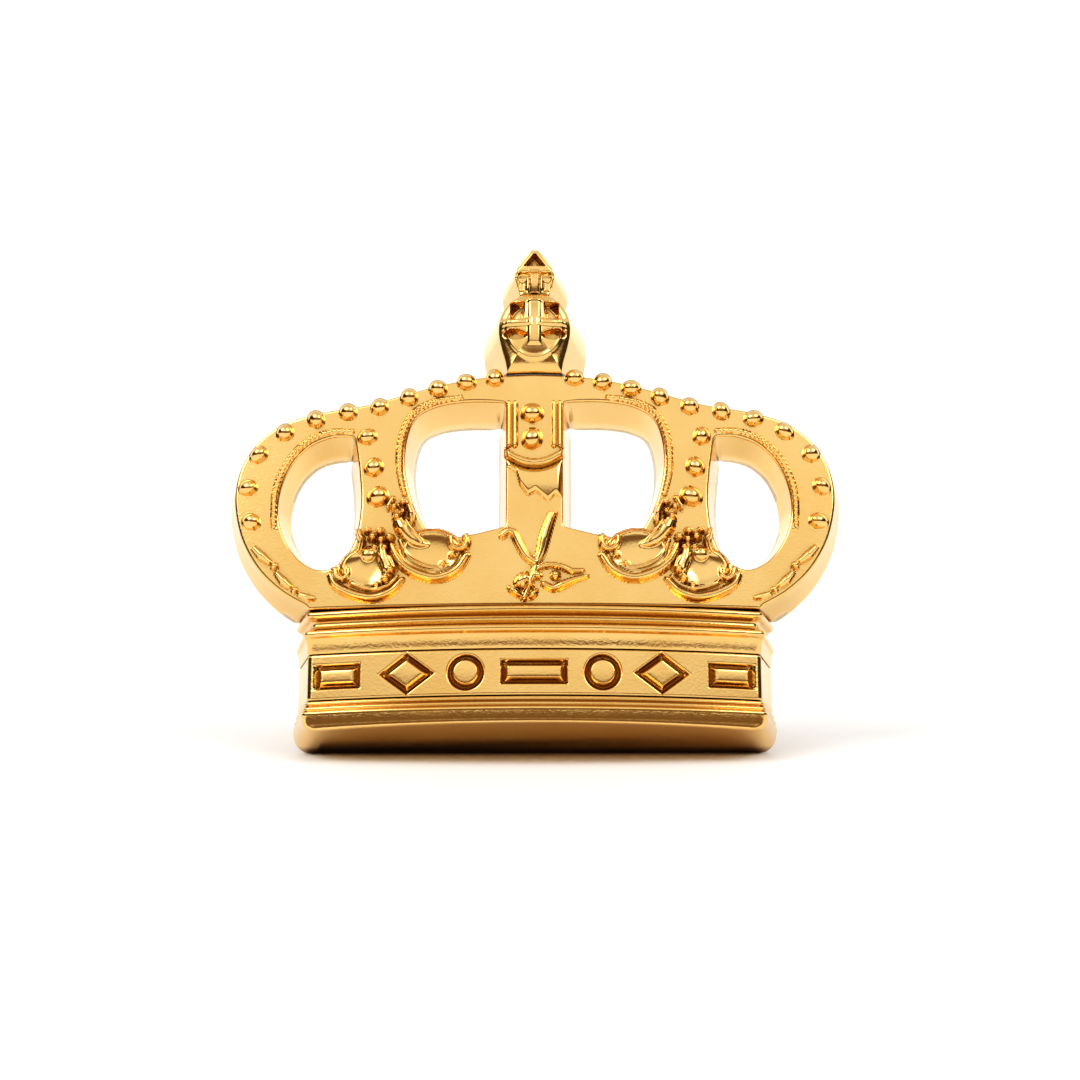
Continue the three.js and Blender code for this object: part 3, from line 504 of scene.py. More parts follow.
def openwork_contours():
    """The rings of the outer edge and of the four windows."""
    contours = [contour_rings(frame_outline, 1.0, OUTER_DRAFT)]
    for side in (1, -1):
        for outline, draft in ((inner_window, WINDOW_DRAFT), (side_window, SIDE_WINDOW_DRAFT)):
            shape = outline if side > 0 else outline[::-1] * (-1, 1)
            contours.append(contour_rings(shape, -1.0, draft))
    return contours


def face_points(loops):
    """A grid of points over the front face, kept off its edges."""
    grid_x, grid_z = np.meshgrid(np.arange(-10.2, 10.21, FACE_GRID), np.arange(4.0, 12.4, FACE_GRID))
    grid = np.column_stack((grid_x.ravel() + 0.013, grid_z.ravel() + 0.017))
    keep = inside_outline(grid, loops[0])
    for loop in loops[1:]:
        keep &= ~inside_outline(grid, loop)
    rim = np.vstack(loops)
    near = np.array([np.min(np.hypot(rim[:, 0] - p[0], rim[:, 1] - p[1])) for p in grid])
    return grid[keep & (near > CONTOUR_STEP)]


def openwork_mesh():
    """Walls down every contour, a fine bowed front between them and a flat back."""
    contours = openwork_contours()
    first = np.concatenate(([0], np.cumsum([len(rings) * len(rings[0]) for rings in contours])))
    inner = face_points([rings[0][:, [0, 2]] for rings in contours])
    vertices = [np.concatenate(rings) for rings in contours]
    vertices.append(np.column_stack((inner[:, 0], panel_y(inner[:, 0]), inner[:, 1])))
    faces = []
    for rings, start in zip(contours, first):
        count = len(rings[0])
        for a in range(start, start + (len(rings) - 1) * count, count):
            for i in range(count):
                j = (i + 1) % count
                faces.append((a + i, a + j, a + count + j, a + count + i))
    for row, interior, wanted in ((0, inner, 1.0), (-1, inner[:0], -1.0)):
        loops = [rings[row][:, [0, 2]] for rings in contours]
        points, triangles = filled(loops[0], loops[1:], interior)
        lookup = []
        for rings, start in zip(contours, first):
            count = len(rings[0])
            offset = start + (row % len(rings)) * count
            lookup += range(offset, offset + count)
        lookup += range(first[-1], first[-1] + len(interior))
        lookup = np.array(lookup)
        flat = points[triangles]
        area = np.cross(flat[:, 1] - flat[:, 0], flat[:, 2] - flat[:, 0])
        for triangle, turn in zip(triangles, area):
            order = triangle if turn * wanted > 0 else triangle[::-1]
            faces.append(tuple(int(lookup[v]) for v in order))
    return np.concatenate(vertices), [tuple(int(v) for v in face) for face in faces]


def face_outwards(mesh):
    """Turns every face of a closed mesh outwards, however each was wound."""
    work = bmesh.new()
    work.from_mesh(mesh)
    bmesh.ops.recalc_face_normals(work, faces=work.faces)
    work.to_mesh(mesh)
    work.free()


openwork = gold_piece("openwork_cast", *openwork_mesh(), ["openwork"], sharp=45.0)
face_outwards(openwork.data)
weighted = openwork.modifiers.new("face_weighting", "WEIGHTED_NORMAL")
weighted.keep_sharp = True


# ------------------------------------------------------------------ relief
def soft_max(a, b, k):
    """The larger of two heights, with a fillet where they meet."""
    return np.maximum(a, b) + np.maximum(k - np.abs(a - b), 0.0) ** 2 / (4 * k)


def dome(rho):
    """Height of a unit dome at a unit distance; past 0.9 it runs on down its tangent, below zero."""
    inner = np.sqrt(np.clip(1 - rho ** 2, 0.19, 1.0))
    return np.where(rho < 0.9, inner, 0.436 - 2.06 * (rho - 0.9))


def ball(x, z, x0, z0, radius, height):
    """A round bead."""
    return height * dome(np.hypot(x - x0, z - z0) / radius)


def oval(x, z, x0, z0, rx, rz, height, turn):
    """An oval bead, turned in the plane of the front."""
    c, s = math.cos(turn), math.sin(turn)
    u, w = (x - x0) * c + (z - z0) * s, -(x - x0) * s + (z - z0) * c
    return height * dome(np.hypot(u / rx, w / rz))


def strand(x, z, path, radii, height, beads=0.0, pitch=0.2):
    """A raised wire along a path; its radius may change and it may be beaded like milgrain."""
    path = spline(path, 6)
    radii = np.interp(np.linspace(0, 1, len(path)), np.linspace(0, 1, len(radii)), radii)
    best = np.full(x.shape, 1e9)
    along = np.zeros(x.shape)
    width = np.full(x.shape, radii[0])
    run = 0.0
    for i in range(len(path) - 1):
        a, b = path[i], path[i + 1]
        length = math.hypot(*(b - a))
        t = np.clip(((x - a[0]) * (b[0] - a[0]) + (z - a[1]) * (b[1] - a[1])) / length ** 2, 0, 1)
        distance = np.hypot(x - a[0] - t * (b[0] - a[0]), z - a[1] - t * (b[1] - a[1]))
        closer = distance < best
        best = np.where(closer, distance, best)
        along = np.where(closer, run + t * length, along)
        width = np.where(closer, radii[i] + t * (radii[i + 1] - radii[i]), width)
        run += length
    high = height * (width / max(radii)) * (1 + beads * (np.cos(2 * np.pi * along / pitch) - 1) / 2)
    return high * dome(best / width)


def relief_piece(name, height_of, area, nodes, pitch=0.035, fillet=0.1):
    """A raised patch on the bowed front: a fine height field over an even back."""
    x0, x1, z0, z1 = area
    xs = np.arange(x0, x1 + pitch, pitch)
    zs = np.arange(z0, z1 + pitch, pitch)
    x, z = np.meshgrid(xs, zs)
    height = soft_max(height_of(x, z), np.zeros_like(x), fillet)
    height[[0, -1], :] = 0
    height[:, [0, -1]] = 0
    raised = height > LOWEST_RELIEF
    spread = raised.copy()
    for dz in (-1, 0, 1):
        for dx in (-1, 0, 1):
            spread |= np.roll(np.roll(raised, dz, axis=0), dx, axis=1)
    height = np.where(raised, height, 0.0)
    cells = spread[:-1, :-1] & spread[1:, :-1] & spread[:-1, 1:] & spread[1:, 1:]
    used = np.zeros_like(spread)
    used[:-1, :-1] |= cells
    used[1:, :-1] |= cells
    used[:-1, 1:] |= cells
    used[1:, 1:] |= cells
    index = np.full(x.shape, -1)
    index[used] = np.arange(used.sum())
    total = int(used.sum())
    px, pz, ph = x[used], z[used], height[used]
    top = np.column_stack((px, panel_y(px) - ph, pz))
    under = np.column_stack((px, panel_y(px) + RELIEF_ROOT, pz))
    rows, cols = np.nonzero(cells)
    a, b = index[rows, cols], index[rows, cols + 1]
    c, d = index[rows + 1, cols + 1], index[rows + 1, cols]
    faces = [tuple(f) for f in np.column_stack((a, b, c, d)).tolist()]
    faces += [tuple(f) for f in (np.column_stack((d, c, b, a)) + total).tolist()]
    padded = np.zeros((cells.shape[0] + 2, cells.shape[1] + 2), bool)
    padded[1:-1, 1:-1] = cells
    for r, q in zip(rows, cols):
        quad = [(index[r, q], index[r, q + 1]), (index[r, q + 1], index[r + 1, q + 1]),
                (index[r + 1, q + 1], index[r + 1, q]), (index[r + 1, q], index[r, q])]
        beyond = (padded[r, q + 1], padded[r + 1, q + 2], padded[r + 2, q + 1], padded[r + 1, q])
        for (m, n), is_closed in zip(quad, beyond):
            if not is_closed:
                faces.append((int(n), int(m), int(m) + total, int(n) + total))
    gold_piece(name, *facing_out(np.vstack((top, under)), faces), nodes, sharp=180.0)


def on_side(side, shape, low, high, bottom, top):
    """A relief drawn for the right half, and its area; both are mirrored where the side is -1."""
    area = (low, high) if side > 0 else (-high, -low)
    return lambda x, z: shape(side * x, z), (*area, bottom, top)


uneven = np.random.default_rng(7)


def pearl_piece(node, x0, z0, radius):
    """A cast pearl: a dome with a soft foot, slightly out of round and lopsided like the casting."""
    reach = np.linspace(0, radius * PEARL_FOOT, 22)[1:]
    around = np.radians(np.arange(0, 360, 9))
    out_of_round, lopsided = uneven.uniform(0.03, 0.08), uneven.uniform(0.04, 0.12)
    phase, lean_to = uneven.uniform(0, math.pi), uneven.uniform(0, 2 * math.pi)
    rings = []
    for r in reach[::-1]:
        wide = r * (1 + out_of_round * np.cos(2 * (around - phase)))
        h = soft_max(radius * PEARL_RISE * dome(np.array(r / radius)), np.array(0.0), PEARL_FILLET)
        h = h * (1 + lopsided * (r / radius) * np.cos(around - lean_to))
        px = x0 + wide * np.cos(around)
        rings.append(np.column_stack((px, panel_y(px) - h, z0 + wide * np.sin(around))))
    foot = rings[0].copy()
    foot[:, 1] += PEARL_ROOT
    gold_piece(node + "_cast", *lofted([foot] + rings), [node], sharp=180.0)


pearl_curve = spline([(9.61, 7.27), (9.76, 8.54), (9.4, 9.7), (8.62, 10.36), (7.56, 10.8), (6.42, 11.03),
                      (5.2, 11.2), (3.7, 11.68), (2.3, 12.0), (1.36, 12.13)], 40)
steps = np.linalg.norm(np.diff(pearl_curve, axis=0), axis=1)
travel = np.concatenate(([0.0], np.cumsum(steps)))
INNER_PEARLS = ((5.68, 10.12, 0.28), (5.44, 9.02, 0.3), (5.28, 7.97, 0.33))
for side, word in ((-1, "left"), (1, "right")):
    for i in range(PEARLS_A_SIDE):
        share = i / (PEARLS_A_SIDE - 1)
        at = travel[-1] * (share + PEARL_CROWDING * share * (1 - share))
        x0 = side * float(np.interp(at, travel, pearl_curve[:, 0]))
        z0 = float(np.interp(at, travel, pearl_curve[:, 1]))
        pearl_piece(f"pearl_{word}_{i + 1}", x0, z0, PEARL_RADIUS)
    for i, (x0, z0, radius) in enumerate(INNER_PEARLS):
        pearl_piece(f"inner_pearl_{word}_{i + 1}", side * x0, z0, radius)
for i, z0 in enumerate((10.86, 9.95)):
    pearl_piece(f"column_bead_{i + 1}", -0.08, z0, 0.33)


def inner_leaf(x, z):
    """The larger acanthus scroll: a cupped rim, a tongue, berries, and a curl at the rim's end."""
    parts = [
        strand(x, z, [(4.8, 6.29), (4.62, 5.85), (4.32, 5.48), (3.77, 5.18), (3.2, 5.09), (2.62, 5.35),
                      (2.28, 5.85)], [0.09, 0.14, 0.15, 0.15, 0.12], 0.28),
        strand(x, z, [(4.5, 6.42), (4.24, 5.86), (3.78, 5.54), (3.27, 5.42), (2.9, 5.52)],
               [0.05, 0.09, 0.07], 0.22),
        strand(x, z, [(2.8, 6.5), (2.76, 6.22), (2.52, 6.04), (2.28, 6.2), (2.28, 6.5)],
               [0.09, 0.11, 0.1], 0.32),
        strand(x, z, [(4.62, 7.45), (4.5, 7.0), (4.24, 6.6), (3.92, 6.34), (3.62, 6.26)],
               [0.12, 0.24, 0.22, 0.1], 0.3),
        strand(x, z, [(4.3, 7.1), (4.17, 6.85), (3.97, 6.58), (3.76, 6.34)], [0.06, 0.09, 0.05], 0.44),
        strand(x, z, [(4.22, 7.6), (4.12, 7.3), (4.12, 7.0)], [0.09, 0.11, 0.08], 0.42),
        strand(x, z, [(5.9, 7.82), (5.65, 7.55), (5.25, 7.45), (4.95, 7.6), (4.78, 7.9)],
               [0.07, 0.12, 0.08], 0.28),
    ]
    for x0, z0, radius in ((4.4, 7.73, 0.14), (4.62, 7.22, 0.14), (4.42, 7.42, 0.11), (3.06, 5.56, 0.11),
                           (2.74, 5.84, 0.13), (4.72, 7.58, 0.12)):
        parts.append(ball(x, z, x0, z0, radius, 0.4 * radius / 0.14))
    bowl = np.hypot((x - 3.45) / 0.92, (z - 5.98) / 0.72)
    parts.append(np.where(bowl < 1, 0.02 + 0.12 * bowl ** 3, 0.14 - 1.2 * (bowl - 1)))
    return np.maximum.reduce(parts)


def outer_leaf(x, z):
    """The smaller scroll below the side window, with a bunch of berries and a petal at the window's edge."""
    parts = [
        strand(x, z, [(6.84, 5.3), (6.67, 4.94), (6.24, 4.66), (5.77, 4.5), (5.31, 4.46), (4.8, 4.66),
                      (4.44, 5.05)], [0.09, 0.13, 0.14, 0.14, 0.09], 0.26),
        strand(x, z, [(6.12, 4.96), (5.65, 4.78), (5.23, 4.74), (4.84, 4.9), (4.6, 5.16)],
               [0.06, 0.08, 0.06], 0.22),
        strand(x, z, [(6.7, 5.48), (6.64, 5.24), (6.43, 5.12), (6.24, 5.26), (6.24, 5.46)],
               [0.08, 0.1, 0.08], 0.3),
        strand(x, z, [(5.92, 6.8), (5.86, 6.6), (5.78, 6.38), (5.86, 6.02)], [0.07, 0.11, 0.08], 0.4),
        strand(x, z, [(5.14, 6.3), (5.05, 5.8), (4.92, 5.4), (5.02, 5.08)], [0.12, 0.2, 0.22, 0.12], 0.3),
    ]
    for x0, z0, radius in ((5.18, 6.72, 0.15), (5.43, 6.53, 0.15), (4.86, 6.5, 0.15), (5.14, 6.43, 0.14),
                           (5.36, 6.18, 0.12), (5.02, 6.17, 0.12), (4.82, 5.36, 0.16), (4.98, 5.06, 0.15),
                           (5.27, 4.88, 0.1), (5.6, 6.78, 0.11)):
        parts.append(ball(x, z, x0, z0, radius, 0.42 * radius / 0.15))
    bowl = np.hypot((x - 5.55) / 0.85, (z - 5.5) / 0.62)
    ribs = 0.02 * np.cos(7 * np.arctan2(z - 6.1, x - 5.3))
    parts.append(np.where(bowl < 1, 0.04 + 0.12 * bowl ** 2 + ribs * bowl, 0.16 - 1.2 * (bowl - 1)))
    parts.append(ball(x, z, 5.58, 5.95, 0.26, 0.24))
    return np.maximum.reduce(parts)


for side, word in ((-1, "left"), (1, "right")):
    relief_piece(f"leaf_inner_{word}_cast", *on_side(side, inner_leaf, 2.1, 4.98, 4.9, 8.1),
                 [f"leaf_inner_{word}"])
    relief_piece(f"leaf_outer_{word}_cast", *on_side(side, outer_leaf, 4.3, 7.0, 4.15, 7.25),
                 [f"leaf_outer_{word}"])


def sprig(x, z):
    """A lopsided twig: two arms, a stalk, a blossom to the left and a curled leaf to the right."""
    parts = [
        strand(x, z, [(-1.08, 6.52), (-0.9, 6.68), (-0.7, 6.62), (-0.52, 6.25), (-0.27, 5.82), (0.02, 5.58)],
               [0.1, 0.12, 0.12], 0.24),
        strand(x, z, [(0.62, 7.3), (0.5, 6.98), (0.33, 6.42), (0.22, 5.95), (0.05, 5.55)],
               [0.12, 0.17, 0.11], 0.27),
        strand(x, z, [(0.08, 5.62), (0.02, 5.3), (-0.12, 5.0), (-0.24, 4.6), (-0.34, 4.36)],
               [0.12, 0.1, 0.09], 0.22),
        oval(x, z, -0.4, 4.98, 0.3, 0.2, 0.3, 0.8),
        oval(x, z, -0.38, 4.76, 0.13, 0.1, 0.34, 0.4),
        oval(x, z, -0.14, 4.8, 0.13, 0.1, 0.34, -0.4),
        oval(x, z, -0.66, 4.58, 0.26, 0.1, 0.26, -0.7),
        oval(x, z, -0.04, 4.5, 0.2, 0.1, 0.24, 0.9),
        strand(x, z, [(0.3, 4.86), (0.6, 4.7), (0.93, 4.82), (1.25, 4.97), (1.74, 5.13)],
               [0.08, 0.13, 0.06], 0.26),
        strand(x, z, [(0.1, 5.4), (0.5, 5.5), (0.9, 5.44), (1.25, 5.3), (1.6, 5.32)],
               [0.08, 0.1, 0.06], 0.22),
        ball(x, z, 0.7, 5.14, 0.15, 0.28),
        ball(x, z, 0.1, 5.14, 0.14, 0.27),
    ]
    return np.maximum.reduce(parts)


relief_piece("centre_sprig_cast", sprig, (-1.45, 1.95, 4.02, 7.35), ["centre_sprig"])


def between(x, z, top, bottom, half):
    """How far a point lies inside a strip across the column."""
    return np.minimum.reduce([top - z, z - bottom, half - np.abs(x)])


def collar(x, z):
    """A plain ring round the column, sagging in the middle."""
    sag = 0.38 * (1 - (x / 0.97) ** 2)
    inside = between(x, z, 9.62 - sag, 9.28 - sag * 0.98, 0.99)
    return np.where(inside > 0, 0.26 * np.sqrt(np.clip(inside, 0, 0.12) / 0.12), inside * 2)


def column_leaf(x, z):
    """A swelling leaf below the collar, with a ragged lower edge."""
    sag = 0.36 * (1 - (x / 0.97) ** 2)
    ragged = np.array([(-0.95, 9.0), (-0.6, 8.75), (-0.48, 8.3), (-0.22, 7.94), (0.04, 8.1), (0.45, 7.74),
                       (0.71, 7.98), (0.95, 7.86)])
    edge = np.interp(x, ragged[:, 0], ragged[:, 1])
    inside = between(x, z, 9.24 - sag, edge, 0.93)
    swell = 0.1 + 0.07 * np.sin(np.clip((z - 7.7) / 1.4, 0, 1) * np.pi)
    return np.where(inside > 0, swell * np.sqrt(np.clip(inside, 0, 0.15) / 0.15), inside * 2)


relief_piece("column_collar_cast", collar, (-1.06, 1.06, 8.76, 9.76), ["column_collar"], 0.03, fillet=0.06)
relief_piece("column_leaf_cast", column_leaf, (-1.02, 1.02, 7.5, 9.2), ["column_leaf"], 0.03, fillet=0.06)


def side_rim(x, z):
    """The beaded rim over the side window."""
    return strand(x, z, [(6.2, 10.36), (7.05, 10.35), (7.8, 10.03), (8.42, 9.35), (8.8, 8.4), (8.84, 7.3),
                         (8.8, 7.0)], [0.07, 0.09, 0.09, 0.07], 0.15, 0.5, 0.17)


def inner_rim(x, z):
    """The beaded rim over the inner window."""
    return strand(x, z, [(2.5, 11.46), (3.4, 11.33), (4.15, 10.9), (4.52, 10.0), (4.56, 8.9), (4.38, 8.05)],
                  [0.07, 0.1, 0.1, 0.07], 0.16, 0.5, 0.17)


def flutes(x, z):
    """Two fine upright lines beside the column's beads."""
    lines = [strand(x, z, [(u, 9.72), (u, 10.4), (u, 11.24)], [0.07], 0.13) for u in (0.66, 0.87)]
    return np.maximum.reduce(lines)


def lobe_ticks(x, z):
    """Dashes and beads along the lobe's lower edge."""
    marks = [
        strand(x, z, [(9.5, 6.36), (9.22, 6.06), (8.94, 5.82)], [0.08, 0.13, 0.09], 0.3),
        ball(x, z, 8.76, 5.66, 0.13, 0.28),
        strand(x, z, [(8.68, 5.42), (8.44, 5.14), (8.22, 4.94)], [0.08, 0.13, 0.09], 0.3),
        ball(x, z, 8.04, 4.8, 0.11, 0.24),
        strand(x, z, [(7.86, 4.64), (7.62, 4.54), (7.4, 4.5)], [0.08, 0.11, 0.07], 0.24),
    ]
    return np.maximum.reduce(marks)


for side, word in ((-1, "left"), (1, "right")):
    for label, shape, area in (("side_rim", side_rim, (6.0, 9.05, 6.8, 10.6)),
                               ("inner_rim", inner_rim, (2.3, 4.8, 7.85, 11.65)),
                               ("flutes", flutes, (0.5, 1.0, 9.55, 11.42)),
                               ("lobe_ticks", lobe_ticks, (7.2, 9.75, 4.3, 6.75))):
        relief_piece(f"openwork_{label}_{word}", *on_side(side, shape, *area), [], 0.03, fillet=0.05)


# ------------------------------------------------------------------ orb and cross
def faced_solid(name, half_points, y_face, centre_z, bottom, front_of, node, blur):
    """A drafted solid with a flat back, whose front is a fine polar grid with its own relief."""
    half = spline(half_points, 10)
    outline = np.vstack((half, half[::-1] * (-1, 1)))
    outline = resampled(outline, 0.05)
    normal = outline_normals(outline, blur)
    count = len(outline)
    rings = []
    for t in np.linspace(0, 1, 10):
        y = y_face * t
        place = outline + normal * (OUTER_DRAFT * (y - y_face))
        z = np.maximum(place[:, 1], bottom(place[:, 0], y))
        rings.append(np.column_stack((place[:, 0], np.full(count, y), z)))
    rim = rings[-1][:, [0, 2]]
    centre = np.array((0.0, centre_z))
    for s in np.concatenate((np.linspace(0.985, 0.9, 7), np.linspace(0.88, 0.02, 62))):
        place = centre + (rim - centre) * s
        y = front_of(place[:, 0], place[:, 1], s)
        rings.append(np.column_stack((place[:, 0], y, place[:, 1])))
    gold_piece(name, *lofted(rings), [node], sharp=50.0)


def arch_top(x, y):
    """Height of the arch's top edge, which widens towards the back."""
    edge = np.interp(np.abs(x), right_edge[::-1, 0], right_edge[::-1, 1])
    return edge + GAP + OUTER_DRAFT * (y + PANEL_DEPTH)


def soft_box(x, z, x0, z0, half_x, half_z, ease=0.05):
    """One inside a rectangle and nothing outside it, with soft edges."""
    inside = np.minimum(half_x - np.abs(x - x0), half_z - np.abs(z - z0))
    return eased(inside, -ease, ease)


def orb_front(x, z, s):
    """A ball in shallow relief with a raised T on it, two square pits above and two hollows below."""
    swell = ORB_DOME * math.sqrt(max(0.0, 1 - s * s))
    y = ORB_FACE - swell
    for side in (-1, 1):
        y = y + 0.45 * soft_box(x, z, side * 0.58, 14.5, 0.22, 0.3)
        crescent = np.hypot((x - side * 0.66) / 0.38, (z - 13.62 - 0.1 * (x * side - 0.66)) / 0.17)
        y = y + 0.34 * (1 - eased(crescent, 0.75, 1.15))
        y = y - 0.07 * soft_box(x, z, side * 0.62, 14.04, 0.5, 0.1, 0.07)
    y = y - 0.09 * soft_box(x, z, 0.0, 14.1, 0.2, 0.85, 0.07)
    lip = np.hypot(x / 1.05, (z - ORB_CENTRE) / 1.2)
    return y - 0.05 * np.exp(-((lip - 0.88) / 0.06) ** 2)


orb_half = [(0.95, 12.1), (0.97, 12.5), (1.12, 13.1), (1.24, 13.75), (1.19, 14.3), (0.93, 14.8),
            (0.5, 15.12), (0.15, 15.18)]
faced_solid("orb_cast", orb_half, ORB_FACE, ORB_CENTRE, arch_top, orb_front, "orb", blur=6)


def cross_front(x, z, s):
    """A gable with a pit in it over a short shaft between two hollows."""
    swell = 0.1 * math.sqrt(max(0.0, 1 - s * s))
    y = -CROSS_DEPTH - swell
    gable = np.minimum(z - 15.98, 0.6 * (17.0 - z) - np.abs(x) * 0.8)
    pit = np.minimum(z - 16.27, 0.6 * (16.75 - z) - np.abs(x) * 0.8)
    y = y - 0.2 * eased(gable, -0.02, 0.1) + 0.4 * eased(pit, -0.02, 0.05)
    y = y - 0.16 * soft_box(x, z, 0.0, 15.66, 0.17, 0.4, 0.06)
    for side in (-1, 1):
        y = y + 0.1 * soft_box(x, z, side * 0.42, 15.62, 0.12, 0.2, 0.08)
    return y


def orb_top(x, y):
    """Height of the orb's top edge, which widens towards the back."""
    curve = spline(orb_half, 10)
    curve = curve[np.argsort(curve[:, 0])]
    edge = np.interp(np.abs(x), curve[:, 0], curve[:, 1])
    return np.maximum(edge, 14.2) + GAP + OUTER_DRAFT * (y - ORB_FACE)


cross_half = [(0.46, 14.9), (0.5, 15.25), (0.62, 15.7), (0.67, 16.04), (0.46, 16.55), (0.1, 16.96)]
faced_solid("cross_cast", cross_half, -CROSS_DEPTH, 15.8, orb_top, cross_front, "cross", blur=2)


# ------------------------------------------------------------------ pin fittings
def refined(node, voxel_mm, passes, material, body):
    """A finer copy of a CAD node with softened edges."""
    source = bpy.data.objects[node]
    piece = bpy.data.objects.new(node + "_pressed", source.data.copy())
    bpy.context.scene.collection.objects.link(piece)
    remesh = piece.modifiers.new("fine", "REMESH")
    remesh.mode = "VOXEL"
    remesh.voxel_size = voxel_mm * 0.001
    soften = piece.modifiers.new("soften", "SMOOTH")
    soften.factor = 0.5
    soften.iterations = passes
    graph = bpy.context.evaluated_depsgraph_get()
    mesh = bpy.data.meshes.new_from_object(piece.evaluated_get(graph))
    piece.modifiers.clear()
    piece.data = mesh
    mesh.polygons.foreach_set("use_smooth", [True] * len(mesh.polygons))
    mesh.materials.clear()
    mesh.materials.append(material)
    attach(piece, body)
    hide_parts(node)


refined("pin_bar", 0.06, 4, gold_fittings, "crown")
refined("hinge_bracket", 0.05, 4, gold_fittings, "crown")
refined("catch_barrel", 0.05, 4, gold_fittings, "crown")
refined("catch_rotor", 0.05, 4, gold_fittings, "catch")
refined("hinge_rivet", 0.03, 5, steel, "crown")
refined("pin_stem", 0.04, 5, steel, "pin")


# ------------------------------------------------------------------ floor, light and camera
def table_material():
    """White table top: a faint mottle in colour and roughness and a fine grain."""
    mat = bpy.data.materials.new("white_table")
    mat.use_nodes = True
    nodes, links = mat.node_tree.nodes, mat.node_tree.links
    shader = nodes["Principled BSDF"]
    coords = nodes.new("ShaderNodeTexCoord")
    mottle = nodes.new("ShaderNodeTexNoise")
    mottle.inputs["Scale"].default_value = 60.0
    grain = nodes.new("ShaderNodeTexNoise")
    grain.inputs["Scale"].default_value = 2500.0
    for source in (mottle, grain):
        links.new(coords.outputs["Object"], source.inputs["Vector"])
    tone = nodes.new("ShaderNodeMix")
    tone.data_type = "RGBA"
    tone.inputs["A"].default_value = (0.935, 0.935, 0.935, 1.0)
    tone.inputs["B"].default_value = (0.915, 0.915, 0.915, 1.0)
    links.new(mottle.outputs["Fac"], tone.inputs["Factor"])
    links.new(tone.outputs["Result"], shader.inputs["Base Color"])
    gloss = nodes.new("ShaderNodeMapRange")
    gloss.inputs["To Min"].default_value = 0.5
    gloss.inputs["To Max"].default_value = 0.7
    links.new(mottle.outputs["Fac"], gloss.inputs["Value"])
    links.new(gloss.outputs["Result"], shader.inputs["Roughness"])
    relief = nodes.new("ShaderNodeBump")
    relief.inputs["Strength"].default_value = 0.1
    relief.inputs["Distance"].default_value = 0.00002
    links.new(grain.outputs["Fac"], relief.inputs["Height"])
    links.new(relief.outputs["Normal"], shader.inputs["Normal"])
    return mat


FLOOR_HALF = 1.5
floor_corners = [(x * FLOOR_HALF, y * FLOOR_HALF, 0) for x, y in ((-1, -1), (1, -1), (1, 1), (-1, 1))]
floor_mesh = bpy.data.meshes.new("floor")
floor_mesh.from_pydata(floor_corners, [], [(0, 1, 2, 3)])
floor_mesh.materials.append(table_material())
floor = bpy.data.objects.new("floor", floor_mesh)
bpy.context.scene.collection.objects.link(floor)

world = bpy.data.worlds.new("studio")
bpy.context.scene.world = world
world.use_nodes = True
sky, sky_links = world.node_tree.nodes, world.node_tree.links
direction = sky.new("ShaderNodeSeparateXYZ")
sky_coords = sky.new("ShaderNodeTexCoord")
sky_links.new(sky_coords.outputs["Generated"], direction.inputs[0])


def sky_step(source, start, end, low, high):
    """A smooth change of brightness between two values of a direction's part."""
    node = sky.new("ShaderNodeMapRange")
    node.interpolation_type = "SMOOTHSTEP"
    for socket, value in (("From Min", start), ("From Max", end), ("To Min", low), ("To Max", high)):
        node.inputs[socket].default_value = value
    sky_links.new(source, node.inputs["Value"])
    return node.outputs["Result"]


def sky_math(operation, a, b):
    """A sum on sockets or plain numbers."""
    node = sky.new("ShaderNodeMath")
    node.operation = operation
    for socket, value in zip(node.inputs, (a, b)):
        if isinstance(value, float):
            socket.default_value = value
        else:
            sky_links.new(value, socket)
    return node.outputs[0]


def sky_mix(base, cover, color):
    """Lays a colour over the sky where the cover is one."""
    node = sky.new("ShaderNodeMix")
    node.data_type = "RGBA"
    sky_links.new(cover, node.inputs["Factor"])
    if isinstance(base, tuple):
        node.inputs["A"].default_value = (*base, 1.0)
    else:
        sky_links.new(base, node.inputs["A"])
    node.inputs["B"].default_value = (*color, 1.0)
    return node.outputs["Result"]


def soft_box_patch(base, azimuth, elevation, inner, outer, color):
    """A round soft light in the sky; the angles are in degrees, azimuth 0 is on the viewer's side."""
    a, e = math.radians(azimuth), math.radians(elevation)
    towards = (math.sin(a) * math.cos(e), -math.cos(a) * math.cos(e), math.sin(e))
    dot = sky.new("ShaderNodeVectorMath")
    dot.operation = "DOT_PRODUCT"
    sky_links.new(sky_coords.outputs["Generated"], dot.inputs[0])
    dot.inputs[1].default_value = towards
    edge, full = math.cos(math.radians(outer)), math.cos(math.radians(inner))
    return sky_mix(base, sky_step(dot.outputs["Value"], edge, full, 0.0, 1.0), color)


# A white studio: white all round near the table, softer overhead, dim and warm on the viewer's side
# below the lamps, with a dark panel on both sides and a large soft light at the upper left and right.
in_front = sky_step(direction.outputs["Y"], 0.2, -0.3, 0.0, 1.0)
low_down = sky_step(direction.outputs["Z"], 0.34, 0.58, 1.0, 0.0)
room = sky_math("MULTIPLY", in_front, low_down)
side_on = sky_math("ABSOLUTE", direction.outputs["X"], 0.0)
panels = sky_math("MULTIPLY", sky_step(side_on, 0.7, 0.88, 0.0, 1.0),
                  sky_step(direction.outputs["Z"], 0.36, 0.6, 1.0, 0.0))
studio = sky_mix((1.06, 1.06, 1.06), sky_step(direction.outputs["Z"], 0.25, 0.6, 0.0, 1.0), (0.7, 0.7, 0.7))
studio = sky_mix(studio, in_front, (0.87, 0.87, 0.87))
studio = sky_mix(studio, sky_step(direction.outputs["Z"], 0.8, 0.95, 0.0, 1.0), (0.7, 0.69, 0.67))
studio = sky_mix(studio, room, (0.2, 0.13, 0.08))
studio = sky_mix(studio, panels, (0.05, 0.04, 0.03))
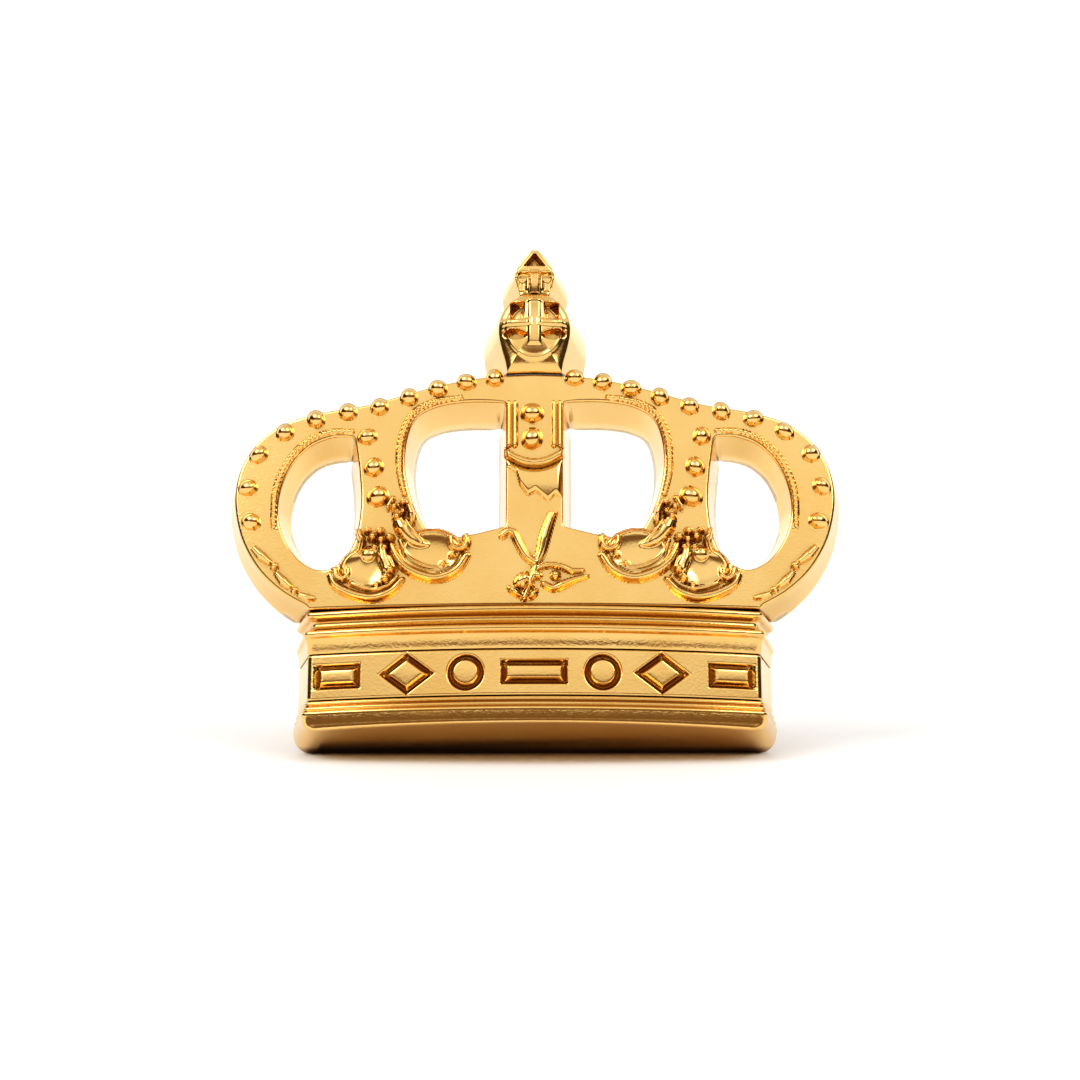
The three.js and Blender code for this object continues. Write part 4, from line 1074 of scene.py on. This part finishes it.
studio = soft_box_patch(studio, -62, 46, 13, 24, (3.4, 3.4, 3.4))
studio = soft_box_patch(studio, 62, 44, 11, 22, (3.0, 3.0, 3.0))
sky_links.new(studio, sky["Background"].inputs["Color"])
sky["Background"].inputs["Strength"].default_value = 1.06


def soft_light(name, size, energy, place, target):
    """A small square lamp turned towards a point; everything in metres."""
    data = bpy.data.lights.new(name, "AREA")
    data.size = size
    data.energy = energy
    light = bpy.data.objects.new(name, data)
    light.location = place
    light.rotation_euler = (Vector(target) - Vector(place)).to_track_quat("-Z", "Y").to_euler()
    bpy.context.scene.collection.objects.link(light)


SPARK_SIZE = 0.014
focus = (0.0, 0.0, 0.007)
soft_light("spark_left", SPARK_SIZE, 0.012, (-0.1, -0.1, 0.19), focus)
soft_light("spark_right", SPARK_SIZE, 0.01, (0.11, -0.12, 0.17), focus)

# The view is almost straight ahead, 3.6 degrees above the table: as the crown leans back 20 degrees, it
# looks 16.4 degrees upwards in the crown's own axes.
SIDEWAYS, UPWARDS = math.radians(0.4), math.radians(16.4)
VIEW_DISTANCE = 83.33
FOCAL_FRACTION = 2500 / 1080
SENSOR = 36.0
LOOK_AT = np.array((0.19, -2.6, 6.3))
forward = np.array((-math.sin(SIDEWAYS) * math.cos(UPWARDS), math.cos(SIDEWAYS) * math.cos(UPWARDS),
                    math.sin(UPWARDS)))
rightward = np.cross(forward, (0.0, 0.0, 1.0))
rightward /= np.linalg.norm(rightward)
upward = np.cross(rightward, forward)
crown_axes = np.array((rightward, upward, -forward))
turned = np.column_stack((crown_axes[:, 0], crown_axes[:, 1] * COS + crown_axes[:, 2] * SIN,
                          -crown_axes[:, 1] * SIN + crown_axes[:, 2] * COS))
place = to_row([LOOK_AT - forward * VIEW_DISTANCE])[0]
camera_data = bpy.data.cameras.new("camera")
camera_data.sensor_width = SENSOR
camera_data.lens = SENSOR * FOCAL_FRACTION
camera_data.clip_start = 0.001
camera_data.clip_end = 10.0
camera = bpy.data.objects.new("camera", camera_data)
camera.rotation_euler = Matrix(turned.T.tolist()).to_euler()
camera.location = place
bpy.context.scene.collection.objects.link(camera)
bpy.context.scene.camera = camera
bpy.context.scene.view_settings.view_transform = "Standard"
bpy.context.scene.view_settings.look = "Medium High Contrast"
